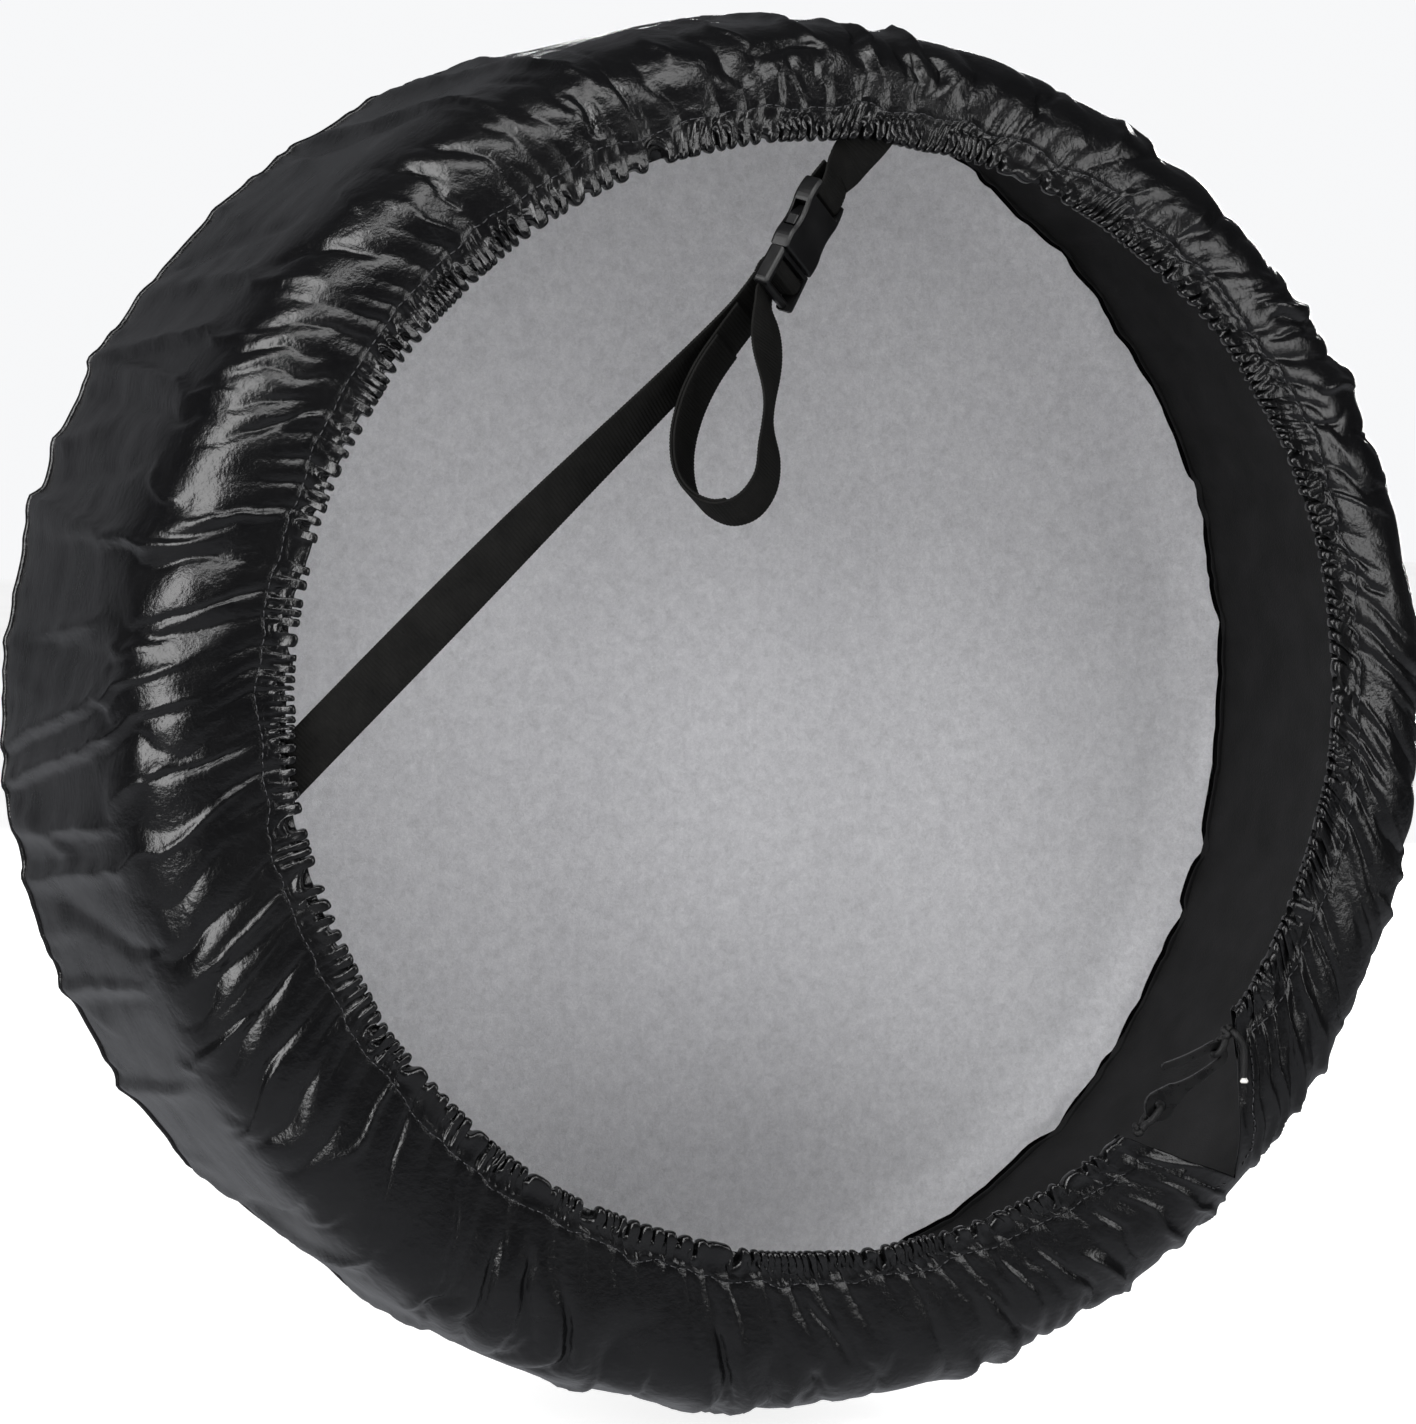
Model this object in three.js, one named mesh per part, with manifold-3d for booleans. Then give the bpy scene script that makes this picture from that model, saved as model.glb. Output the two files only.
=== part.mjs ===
// Spare tyre cover for a 255/45 R 18 tyre, in its fitted shape, without the tyre.
//
// Millimetres, +Z up. The tyre's axis is Y and the origin is the tyre's centre. The
// plain face panel looks along +Y and the elastic hem, where the cover opens, along -Y.
//
// The cover is a face panel and a side wall of synthetic leather. The side wall's free edge is
// folded into a casing that holds an elastic cord. The hem is cut by a V notch, which a plastic
// hook closes. A webbing strap with a side release buckle crosses the opening.

import * as THREE from 'three';
import { mergeVertices } from 'three/addons/utils/BufferGeometryUtils.js';
import Module from 'manifold-3d';

const wasm = await Module();
wasm.setup();

// ---------------------------------------------------------------- driving dimensions

const GAP = 0.3; // between pieces that touch
const SEGMENTS = 56; // around the tyre's axis

const SKIN = 1.0; // synthetic leather
const LINING = 0.6; // non-woven backing of the face panel
const TREAD_RADIUS = 351.5; // outside of the side wall over the tread
const SHOULDER = { r: 344.6, y: -106 }; // where the side wall turns over the tyre's shoulder
const FACE_Y = 129; // outside of the face panel
const FLAT_RADIUS = 300; // the face panel is flat inside this radius
const SEAM = { r: 345, y: 123.5 }; // centre of the piping in the seam
const PIPING_RADIUS = 2.0;

const HEM_SHIFT = new THREE.Vector3(6, 0, 13); // the gathered hem sits a little off the axis
const HEM_RADIUS = 272.5; // edge of the opening
const CASING_WIDTH = 19.5;
const CASING_DEPTH = 6.0;
const CASING_WALL = 0.8;
const CASING_Y = -138.4; // middle of the casing
const ELASTIC_RADIUS = 1.9;
const ELASTIC_INSET = 4.0; // from the hem's edge to the elastic's centre

const NOTCH_TIP = new THREE.Vector2(234, -238); // x and z on the shoulder
const NOTCH_UPPER = new THREE.Vector2(226, -155); // on the hem's edge
const NOTCH_LOWER = new THREE.Vector2(165, -212); // on the hem's edge
const FACING_WIDTH = 11;

const WEBBING_WIDTH = 25;
const WEBBING = 1.4; // thickness
const STRAP_Y = -134.2; // where the straps lie under the hem

const BUCKLE_AT = new THREE.Vector3(-17.6, -146, 226.5); // middle of the socket's mouth
const BUCKLE_AXIS = new THREE.Vector3(-0.506, -0.106, -0.856).normalize(); // towards the tail
const BUCKLE_SIDE = new THREE.Vector3(0.637, 0.623, -0.454); // across the webbing
const BUCKLE_HALF_WIDTH = 17;
const SOCKET_LENGTH = 39;
const PLUG_LENGTH = 21;
const PLUG_BAR = { x: 18.2, z: -1, radius: 2.3 }; // the plug's end bar

const HOOK_EYE = new THREE.Vector3(183, -141, -196);
const HOOK_ALONG = new THREE.Vector3(0.8, 0, 0.6); // from the eye to the bend
const HOOK_THICKNESS = 3;
const HOOK_BEND = 39.5; // from the eye to the centre of the bend
const EYE_RADIUS = 3.1;
const KNOT_RADIUS = 3.4;
const KNOT_LOWER = new THREE.Vector3(172.5, -140, -207.5);
const KNOT_UPPER = new THREE.Vector3(221, -140, -160);

// ---------------------------------------------------------------- materials

const finish = (color, roughness, metalness = 0) =>
  new THREE.MeshStandardMaterial({ color, roughness, metalness });

const vinyl = () => finish(0x0d0d0f, 0.32);
const felt = () => finish(0xb4b6bd, 0.95);
const webbing = () => finish(0x14130f, 0.85);
const elastic = () => finish(0x16161a, 0.8);
const thread = () => finish(0x1b1b1e, 0.7);
const plastic = () => finish(0x0c0c0d, 0.38);
const rubber = () => finish(0xe4e2dc, 0.7);

// ---------------------------------------------------------------- solids

// A closed geometry as a manifold solid with its faces pointing out.
function toSolid(geometry) {
  const bare = geometry.index ? geometry.toNonIndexed() : geometry.clone();
  bare.deleteAttribute('normal');
  bare.deleteAttribute('uv');
  const merged = mergeVertices(bare, 1e-4);
  const points = merged.attributes.position.array;
  const corners = Array.from(merged.index.array);
  const triangles = [];
  for (let i = 0; i < corners.length; i += 3) {
    const [a, b, c] = corners.slice(i, i + 3);
    if (a !== b && b !== c && c !== a) triangles.push(a, b, c);
  }
  const build = (order) =>
    new wasm.Manifold(
      new wasm.Mesh({
        numProp: 3,
        vertProperties: new Float32Array(points),
        triVerts: new Uint32Array(order),
      }),
    );
  const solid = build(triangles);
  return solid.volume() > 0 ? solid : build(triangles.reverse());
}

function toGeometry(solid) {
  const mesh = solid.getMesh();
  const geometry = new THREE.BufferGeometry();
  geometry.setAttribute('position', new THREE.BufferAttribute(mesh.vertProperties, 3));
  geometry.setIndex(new THREE.BufferAttribute(mesh.triVerts, 1));
  geometry.computeVertexNormals();
  return geometry;
}

function piece(name, solid, material) {
  const mesh = new THREE.Mesh(toGeometry(solid), material);
  mesh.name = name;
  return mesh;
}

const box = (x0, x1, y0, y1, z0, z1) => {
  const geometry = new THREE.BoxGeometry(x1 - x0, y1 - y0, z1 - z0);
  return toSolid(geometry.translate((x0 + x1) / 2, (y0 + y1) / 2, (z0 + z1) / 2));
};

// A plate: an outline in x and y, centred on z = 0, with rounded edges.
function plate(shape, thickness, edge) {
  const geometry = new THREE.ExtrudeGeometry(shape, {
    depth: thickness - 2 * edge,
    bevelThickness: edge,
    bevelSize: edge,
    bevelOffset: -edge,
    bevelSegments: 2,
    curveSegments: 6,
  });
  return toSolid(geometry.translate(0, 0, edge - thickness / 2));
}

// A ring about the Y axis from a closed profile of [radius, y] points.
function ringGeometry(profile) {
  const points = profile.map(([r, y]) => new THREE.Vector2(r, y));
  points.push(points[0].clone());
  return new THREE.LatheGeometry(points, SEGMENTS);
}

const ring = (profile) => toSolid(ringGeometry(profile));

// A disc about the Y axis: the profile starts and ends on the axis.
const disc = (profile) =>
  toSolid(new THREE.LatheGeometry(profile.map(([r, y]) => new THREE.Vector2(r, y)), SEGMENTS));

// The profile of a sheet: an outer line and the same line moved inwards, as one closed outline.
function sheetProfile(line, from, to) {
  const moved = (distance) =>
    line.map((p, i) => {
      const before = line[Math.max(i - 1, 0)];
      const after = line[Math.min(i + 1, line.length - 1)];
      const along = after.clone().sub(before).normalize();
      return [p.x + along.y * distance, p.y - along.x * distance];
    });
  return [...moved(from), ...moved(to).reverse()];
}

// A round cord along a curve.
function cord(curve, radius, steps) {
  const section = new THREE.Shape();
  section.absarc(0, 0, radius, 0, 2 * Math.PI);
  const options = { steps, extrudePath: curve, curveSegments: 4, bevelEnabled: false };
  return toSolid(new THREE.ExtrudeGeometry(section, options));
}

// Webbing along a curve. side(t) is the direction of its width.
function strip(curve, side, steps) {
  const positions = [];
  for (let i = 0; i <= steps; i++) {
    const t = i / steps;
    const centre = curve.getPointAt(t);
    const along = curve.getTangentAt(t);
    const across = side(t).clone().addScaledVector(along, -side(t).dot(along)).normalize();
    const up = along.clone().cross(across);
    for (const [w, h] of [[-1, -1], [1, -1], [1, 1], [-1, 1]]) {
      const corner = centre.clone();
      corner.addScaledVector(across, (w * WEBBING_WIDTH) / 2);
      corner.addScaledVector(up, (h * WEBBING) / 2);
      positions.push(...corner.toArray());
    }
  }
  const index = [0, 2, 1, 0, 3, 2];
  for (let i = 0; i < steps; i++) {
    for (let k = 0; k < 4; k++) {
      const a = 4 * i + k;
      const b = 4 * i + ((k + 1) % 4);
      index.push(a, b, b + 4, a, b + 4, a + 4);
    }
  }
  const end = 4 * steps;
  index.push(end, end + 1, end + 2, end, end + 2, end + 3);
  const geometry = new THREE.BufferGeometry();
  geometry.setAttribute('position', new THREE.Float32BufferAttribute(positions, 3));
  geometry.setIndex(index);
  return toSolid(geometry);
}

// A direction that turns smoothly from one to another between two shares of a curve's length.
const turn = (from, to, start, end) => (t) =>
  from.clone().lerp(to, THREE.MathUtils.smoothstep(t, start, end));

// ---------------------------------------------------------------- face panel and its seam

const faceLine = [
  new THREE.Vector2(0, FACE_Y),
  new THREE.Vector2(FLAT_RADIUS, FACE_Y),
  new THREE.Vector2(323, FACE_Y - 1),
  new THREE.Vector2(SEAM.r - PIPING_RADIUS - 1.2, FACE_Y - 3.4),
];

const facePanel = disc(sheetProfile(faceLine, 0, SKIN));

const liningFrom = SKIN + GAP;
const liningLine = [...faceLine.slice(0, 3), new THREE.Vector2(334, FACE_Y - 2.7)];
const faceBacking = disc(sheetProfile(liningLine, liningFrom, liningFrom + LINING));

// A strip of vinyl folded round a cord: a tube that stays open between its two seam
// allowances, which point inwards.
function pipingWrap() {
  const steps = 6;
  const inside = PIPING_RADIUS - 0.7;
  const allowance = 8;
  const leg = 0.7;
  const slot = 0.2;
  const middle = Math.PI * 1.25;
  const at = (radius, angle) => [
    SEAM.r + radius * Math.cos(angle),
    SEAM.y + radius * Math.sin(angle),
  ];
  const arc = (radius, half) => {
    const opening = Math.asin(half / radius);
    const span = 2 * (Math.PI - opening);
    return Array.from({ length: steps + 1 }, (_, i) =>
      at(radius, middle + opening + (span * i) / steps));
  };
  const legEnd = (half) => at(Math.hypot(allowance, half), middle + Math.atan2(half, allowance));
  const outer = [legEnd(slot + leg), ...arc(PIPING_RADIUS, slot + leg), legEnd(-slot - leg)];
  const inner = [legEnd(-slot), ...arc(inside, slot).reverse(), legEnd(slot)];
  return ring([...outer, ...inner]);
}

function pipingCord() {
  const radius = 0.84;
  const sides = 8;
  return ring(Array.from({ length: sides }, (_, i) => {
    const angle = (2 * Math.PI * i) / sides;
    return [SEAM.r + radius * Math.cos(angle), SEAM.y + radius * Math.sin(angle)];
  }));
}

// ---------------------------------------------------------------- side wall

// Over the tread, from the seam to the shoulder.
const bandLine = [
  [SHOULDER.r, SHOULDER.y],
  [349.2, -86],
  [TREAD_RADIUS, -50],
  [TREAD_RADIUS, 70],
  [349.6, 104],
  [346.2, 119.8],
].map(([r, y]) => new THREE.Vector2(r, y));

const sideBand = ring(sheetProfile(bandLine, 0, -SKIN));

// Over the sidewall, from the shoulder to the casing.
const flangeLine = new THREE.QuadraticBezierCurve(
  new THREE.Vector2(SHOULDER.r - 0.1, SHOULDER.y - GAP),
  new THREE.Vector2(SHOULDER.r - 1.5, CASING_Y + 4.5),
  new THREE.Vector2(HEM_RADIUS + CASING_WIDTH + GAP, CASING_Y - SKIN / 2),
).getPoints(7);

// The wall moves with the hem's centre: not at the shoulder, wholly at the casing.
function hemRing(profile) {
  const geometry = ringGeometry(profile);
  const inner = HEM_RADIUS + CASING_WIDTH + GAP;
  const position = geometry.attributes.position;
  for (let i = 0; i < position.count; i++) {
    const r = Math.hypot(position.getX(i), position.getZ(i));
    const share = THREE.MathUtils.clamp((SHOULDER.r - r) / (SHOULDER.r - inner), 0, 1);
    position.setX(i, position.getX(i) + HEM_SHIFT.x * share);
    position.setZ(i, position.getZ(i) + HEM_SHIFT.z * share);
  }
  return toSolid(geometry);
}

// A prism through the hem side of the cover, with its outline given in x and z.
function hemPrism(...corners) {
  const shape = new THREE.Shape(corners);
  const geometry = new THREE.ExtrudeGeometry(shape, { depth: 200, bevelEnabled: false });
  return toSolid(geometry.rotateX(Math.PI / 2));
}

const beyond = (from, to, distance) =>
  to.clone().add(to.clone().sub(from).setLength(distance));

const notch = hemPrism(
  NOTCH_TIP,
  beyond(NOTCH_TIP, NOTCH_UPPER, 25),
  beyond(NOTCH_TIP, NOTCH_LOWER, 25),
);

// The folded edge of the notch: a band under the wall, beside one side of the notch, from the
// casing to just short of the tip.
function notchFacing(hemCorner, sideways) {
  const from = SKIN + GAP;
  const under = hemRing(sheetProfile(flangeLine.slice(0, -1), -from, -from - SKIN));
  const tip = NOTCH_TIP.clone().lerp(hemCorner, 0.16);
  const step = sideways.clone().setLength(FACING_WIDTH);
  const band = hemPrism(hemCorner, tip, tip.clone().add(step), hemCorner.clone().add(step));
  return under.intersect(band);
}

// ---------------------------------------------------------------- hem

// A flat tube with rounded edges, in [radius, y].
function casingProfile(inset) {
  const inner = HEM_RADIUS + inset;
  const outer = HEM_RADIUS + CASING_WIDTH - inset;
  const half = CASING_DEPTH / 2 - inset;
  const corner = half * 0.6;
  return [
    [inner, CASING_Y - half + corner],
    [inner + corner, CASING_Y - half],
    [outer - corner, CASING_Y - half],
    [outer, CASING_Y - half + corner],
    [outer, CASING_Y + half - corner],
    [outer - corner, CASING_Y + half],
    [inner + corner, CASING_Y + half],
    [inner, CASING_Y + half - corner],
  ];
}

const hemCasing = hemRing(casingProfile(0))
  .subtract(hemRing(casingProfile(CASING_WALL)))
  .subtract(notch);

function casingStitching() {
  const r = HEM_RADIUS + CASING_WIDTH - 2.6;
  const y = CASING_Y - CASING_DEPTH / 2 - GAP - 0.4;
  const half = 0.4;
  const profile = [[r - half, y], [r, y - half], [r + half, y], [r, y + half]];
  return hemRing(profile).subtract(notch);
}

// A circular run about the hem's centre, from one angle to another, in degrees from +X
// towards +Z.
class HemRun extends THREE.Curve {
  constructor(radius, from, to) {
    super();
    Object.assign(this, { radius, from, to });
  }

  getPoint(t, target = new THREE.Vector3()) {
    const angle = THREE.MathUtils.degToRad(THREE.MathUtils.lerp(this.from, this.to, t));
    const { x, z } = HEM_SHIFT;
    return target.set(x + this.radius * Math.cos(angle), CASING_Y,
      z + this.radius * Math.sin(angle));
  }
}

const angleOfKnot = (knot) =>
  THREE.MathUtils.radToDeg(Math.atan2(knot.z - HEM_SHIFT.z, knot.x - HEM_SHIFT.x));

function hemElastic() {
  const radius = HEM_RADIUS + ELASTIC_INSET;
  const clear = THREE.MathUtils.radToDeg((KNOT_RADIUS + ELASTIC_RADIUS) / radius);
  const from = angleOfKnot(KNOT_UPPER) + clear;
  const to = angleOfKnot(KNOT_LOWER) + 360 - clear;
  return cord(new HemRun(radius, from, to), ELASTIC_RADIUS, 72);
}

// ---------------------------------------------------------------- hook and its two loops

const hookUp = new THREE.Vector3(-HOOK_ALONG.z, 0, HOOK_ALONG.x);

// A point of the hook: along from the eye to the bend, up towards the prong, out to the front.
const onHook = (along, up, out = 0) =>
  HOOK_EYE.clone()
    .addScaledVector(HOOK_ALONG, along)
    .addScaledVector(hookUp, up)
    .add(new THREE.Vector3(0, -out, 0));

function gapHook() {
  const lobe = 8;
  const bendOuter = 7;
  const bendInner = 2.7;
  const shape = new THREE.Shape();
  shape.absarc(0, 0, lobe, 1.25, -1.0);
  shape.quadraticCurveTo(14, -3.4, 22, -4.6);
  shape.lineTo(HOOK_BEND, -bendOuter + 1.5);
  shape.absarc(HOOK_BEND, 1.5, bendOuter, -Math.PI / 2, Math.PI / 2);
  shape.quadraticCurveTo(28, 10.5, 15.5, 15.6);
  shape.quadraticCurveTo(12, 16, 13, 13);
  shape.quadraticCurveTo(24, 6.5, HOOK_BEND - 1, 1.5 + bendInner);
  shape.absarc(HOOK_BEND, 1.5, bendInner, Math.PI / 2, -Math.PI / 2, true);
  shape.quadraticCurveTo(18, 0.2, 11, 5.4);
  const eye = new THREE.Path();
  eye.absarc(0, 0, EYE_RADIUS, 0, 2 * Math.PI);
  shape.holes.push(eye);
  return plate(shape, HOOK_THICKNESS, 0.6);
}

// The cord's loop from its knot round a rim of the hook: over the front, through the hole, and
// back behind.
function hookLoop(knot, hole) {
  const rise = HOOK_THICKNESS / 2 + GAP + ELASTIC_RADIUS + 0.15;
  const middle = knot.clone().setY(HOOK_EYE.y);
  const away = hole.clone().sub(middle);
  const reach = away.length();
  away.normalize();
  const at = (distance, out) =>
    middle.clone().addScaledVector(away, distance).add(new THREE.Vector3(0, -out, 0));
  const start = KNOT_RADIUS + GAP + 0.4;
  const half = 2.3;
  const spread = 1.6; // the two runs are clear of the hook this far from the knot
  return cord(
    new THREE.CatmullRomCurve3([
      at(start, half),
      at(start + spread, rise),
      at(reach - 1.6, rise),
      at(reach, rise * 0.45),
      at(reach, -rise * 0.45),
      at(reach - 1.6, -rise),
      at(start + spread, -rise),
      at(start, -half),
    ]),
    ELASTIC_RADIUS,
    26,
  );
}

const knotBall = (at) =>
  toSolid(new THREE.SphereGeometry(KNOT_RADIUS, 10, 8).translate(at.x, at.y, at.z));

// The free end below the upper knot, hanging in front of the wall.
const elasticEnd = new THREE.CatmullRomCurve3([
  new THREE.Vector3(224.2, -145.4, -161.8),
  new THREE.Vector3(227.2, -146.2, -167),
  new THREE.Vector3(227.9, -146.3, -175),
  new THREE.Vector3(227.7, -146.3, -183),
]);

function elasticCore() {
  const end = elasticEnd.getPoint(1);
  const geometry = new THREE.CylinderGeometry(1.4, 1.4, 0.9, 12);
  geometry.rotateX(Math.PI / 2).translate(end.x, end.y, end.z - GAP - 0.45);
  return toSolid(geometry);
}

// ---------------------------------------------------------------- buckle

// In the buckle's own frame: x towards the tail, y across the webbing, z out of its face, with
// the mouth of the socket at x = 0.
const buckleFace = BUCKLE_AXIS.clone().cross(BUCKLE_SIDE).normalize();
const buckleSide = buckleFace.clone().cross(BUCKLE_AXIS).normalize();
const buckleFrame = new THREE.Matrix4()
  .makeBasis(BUCKLE_AXIS, buckleSide, buckleFace)
  .setPosition(BUCKLE_AT);
const onBuckle = (x, z) => new THREE.Vector3(x, 0, z).applyMatrix4(buckleFrame);

const slotHalf = WEBBING_WIDTH / 2 + 0.8;

function buckleSocket() {
  const end = BUCKLE_HALF_WIDTH - 1;
  const scoop = BUCKLE_HALF_WIDTH - 3.6;
  const shape = new THREE.Shape();
  shape.moveTo(0, -end);
  shape.lineTo(0, end);
  shape.quadraticCurveTo(-6, BUCKLE_HALF_WIDTH + 0.6, -10, BUCKLE_HALF_WIDTH - 0.6);
  shape.quadraticCurveTo(-18, scoop, -27, BUCKLE_HALF_WIDTH - 0.4);
  shape.quadraticCurveTo(-33, BUCKLE_HALF_WIDTH + 0.4, -SOCKET_LENGTH, end - 1);
  shape.lineTo(-SOCKET_LENGTH, 1 - end);
  shape.quadraticCurveTo(-33, -BUCKLE_HALF_WIDTH - 0.4, -27, 0.4 - BUCKLE_HALF_WIDTH);
  shape.quadraticCurveTo(-18, -scoop, -10, 0.6 - BUCKLE_HALF_WIDTH);
  shape.quadraticCurveTo(-6, -BUCKLE_HALF_WIDTH - 0.6, 0, -end);
  const bar = 2.2;
  return plate(shape, 10, 1.4)
    .subtract(box(-26, 1, -13.6, 13.6, -3.2, 3.2))
    .subtract(box(-25.5, -11.5, -20, 20, -3.2, 3.2))
    .subtract(box(-35.5, -30.5, -slotHalf, slotHalf, -6, 6))
    .subtract(box(-40, -35.2, -slotHalf, slotHalf, bar, 6))
    .subtract(box(-40, -35.2, -slotHalf, slotHalf, -6, -bar));
}

function bucklePlug() {
  const shape = new THREE.Shape();
  shape.moveTo(0.4, -BUCKLE_HALF_WIDTH + 0.8);
  shape.lineTo(0.4, BUCKLE_HALF_WIDTH - 0.8);
  shape.lineTo(PLUG_LENGTH - 3, BUCKLE_HALF_WIDTH);
  shape.quadraticCurveTo(PLUG_LENGTH, BUCKLE_HALF_WIDTH, PLUG_LENGTH, BUCKLE_HALF_WIDTH - 2.4);
  shape.lineTo(PLUG_LENGTH, 2.4 - BUCKLE_HALF_WIDTH);
  shape.quadraticCurveTo(PLUG_LENGTH, -BUCKLE_HALF_WIDTH, PLUG_LENGTH - 3, -BUCKLE_HALF_WIDTH);
  const bar = new THREE.CylinderGeometry(PLUG_BAR.radius, PLUG_BAR.radius, 2 * slotHalf + 2, 12);
  return plate(shape, 8.4, 1.5)
    .subtract(box(3.4, PLUG_LENGTH + 1, -slotHalf, slotHalf, -6, 6))
    .add(box(7, 10.4, -slotHalf - 1, slotHalf + 1, -1.8, 1.8))
    .add(toSolid(bar.translate(PLUG_BAR.x, 0, PLUG_BAR.z)))
    .add(box(-20, 1, -2.3, 2.3, -1.9, 1.9));
}

// A springy arm: a slim limb whose barb stands in the socket's side window.
function buckleArm(side) {
  const outline = [
    [0.1, 7.5], [0.1, 11.6], [-9.5, 12.2], [-12, 12.8], [-12.5, 15.9],
    [-17.5, 15.9], [-24.6, 11.6], [-24.6, 8.6], [-12, 8.8],
  ].map(([x, y]) => new THREE.Vector2(x, y * side));
  return plate(new THREE.Shape(outline), 5.4, 0.5);
}

// ---------------------------------------------------------------- webbing

const flatAcross = (along) => new THREE.Vector3(-along.z, 0, along.x).normalize();

const longRun = new THREE.Vector3(-0.716, 0, -0.698);
const longAnchor = new THREE.Vector3(-258, STRAP_Y, -7.5);
const underHem = 28;

const longStrapLine = new THREE.CatmullRomCurve3([
  onBuckle(15.4, -7.2),
  onBuckle(24, -8.8),
  onBuckle(36, -12),
  longAnchor.clone().addScaledVector(longRun, -150).setY(-138.5),
  longAnchor.clone().addScaledVector(longRun, -60).setY(-135.2),
  longAnchor,
  longAnchor.clone().addScaledVector(longRun, underHem),
]);

const shortRun = new THREE.Vector3(0.62, 0, 0.784);
const shortAnchor = new THREE.Vector3(26.4, STRAP_Y, 286.6);

// From under the hem to the socket, round its bar and back on itself, where it is sewn.
const shortStrapLine = new THREE.CatmullRomCurve3([
  shortAnchor.clone().addScaledVector(shortRun, 20),
  shortAnchor,
  shortAnchor.clone().addScaledVector(shortRun, -12).setY(STRAP_Y + 1),
  onBuckle(-50, 1.6),
  onBuckle(-43.5, 3.1),
  onBuckle(-38, 3.5),
  onBuckle(-34.3, 3.0),
  onBuckle(-33.2, 0),
  onBuckle(-34.3, -3.0),
  onBuckle(-38, -3.5),
  onBuckle(-43.5, -2.6),
  onBuckle(-50, -0.9),
]);

const longTurn = turn(buckleSide, flatAcross(longRun), 0.05, 0.8);
const shortTurn = turn(flatAcross(shortRun).negate(), buckleSide, 0.38, 0.54);

// Round the plug's middle bar, up through one slot and down through the other.
const wrapLine = new THREE.CatmullRomCurve3([
  onBuckle(14.8, -7.2),
  onBuckle(9.5, -7.2),
  onBuckle(5.6, -5),
  onBuckle(4.9, 0),
  onBuckle(6, 3.1),
  onBuckle(9, 3.7),
  onBuckle(11.8, 2.6),
  onBuckle(12.6, -1),
  onBuckle(13.2, -3.6),
  onBuckle(14.6, -5.2),
]);

// The spare length hangs from the plug's end bar in a loop and its end is tucked in behind.
const tailLine = new THREE.CatmullRomCurve3([
  onBuckle(18.2, -4.8),
  onBuckle(22.4, -3.6),
  onBuckle(30, 1.5),
  onBuckle(45, 10),
  onBuckle(75, 27),
  onBuckle(96, 39),
  onBuckle(113, 45),
  onBuckle(126, 42),
  onBuckle(133, 32),
  onBuckle(132, 17),
  onBuckle(124, 4),
  onBuckle(108, -7),
  onBuckle(88, -13),
  onBuckle(68, -14),
  onBuckle(50, -11.4),
  onBuckle(33, -8),
]);

// A stitched rectangle that holds a strap's end to the casing.
function strapTack(at, run) {
  const frame = new THREE.Shape([[-7, -9], [7, -9], [7, 9], [-7, 9]].map(
    ([x, y]) => new THREE.Vector2(x, y)));
  frame.holes.push(new THREE.Path([[-5.6, -7.6], [-5.6, 7.6], [5.6, 7.6], [5.6, -7.6]].map(
    ([x, y]) => new THREE.Vector2(x, y))));
  const geometry = new THREE.ExtrudeGeometry(frame, { depth: 0.5, bevelEnabled: false });
  const across = flatAcross(run);
  const basis = new THREE.Matrix4().makeBasis(run, across, run.clone().cross(across));
  const inward = new THREE.Vector3(0, WEBBING / 2 + GAP + 0.5, 0);
  basis.setPosition(at.clone().addScaledVector(run, 12).add(inward));
  return toSolid(geometry.applyMatrix4(basis));
}

// ---------------------------------------------------------------- assembly

const cover = new THREE.Group();
cover.add(
  piece('face_panel', facePanel, vinyl()),
  piece('face_backing', faceBacking, felt()),
  piece('edge_piping', pipingWrap(), vinyl()),
  piece('piping_cord', pipingCord(), rubber()),
  piece('side_band', sideBand, vinyl()),
  piece('back_flange', hemRing(sheetProfile(flangeLine, 0, -SKIN)).subtract(notch), vinyl()),
  piece('hem_casing', hemCasing, vinyl()),
  piece('casing_stitching', casingStitching(), thread()),
  piece('hem_elastic', hemElastic(), elastic()),
  piece('notch_facing_upper', notchFacing(NOTCH_UPPER, new THREE.Vector2(1, 0.1)), vinyl()),
  piece('notch_facing_lower', notchFacing(NOTCH_LOWER, new THREE.Vector2(-0.35, -1)), vinyl()),
);

const hook = new THREE.Group();
hook.position.copy(HOOK_EYE);
hook.quaternion.setFromRotationMatrix(
  new THREE.Matrix4().makeBasis(HOOK_ALONG, hookUp, HOOK_ALONG.clone().cross(hookUp)),
);
hook.add(piece('gap_hook', gapHook(), plastic()));

cover.add(
  hook,
  piece('hook_knot', knotBall(KNOT_LOWER), elastic()),
  piece('hook_tie', hookLoop(KNOT_LOWER, HOOK_EYE), elastic()),
  piece('loop_knot', knotBall(KNOT_UPPER), elastic()),
  piece('elastic_loop', hookLoop(KNOT_UPPER, onHook(HOOK_BEND, 1.5)), elastic()),
  piece('elastic_end', cord(elasticEnd, ELASTIC_RADIUS, 8), elastic()),
  piece('elastic_core', elasticCore(), rubber()),
);

const buckle = new THREE.Group();
buckle.applyMatrix4(buckleFrame);
buckle.add(
  piece('buckle_socket', buckleSocket(), plastic()),
  piece('buckle_plug', bucklePlug(), plastic()),
  piece('buckle_arm_left', buckleArm(-1), plastic()),
  piece('buckle_arm_right', buckleArm(1), plastic()),
);

cover.add(
  buckle,
  piece('strap_short', strip(shortStrapLine, shortTurn, 40), webbing()),
  piece('strap_long', strip(longStrapLine, longTurn, 44), webbing()),
  piece('strap_wrap', strip(wrapLine, () => buckleSide, 18), webbing()),
  piece('strap_tail', strip(tailLine, () => buckleSide, 44), webbing()),
  piece('strap_tack_left', strapTack(longAnchor, longRun), thread()),
  piece('strap_tack_top', strapTack(shortAnchor, shortRun), thread()),
);

export default cover;
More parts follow.
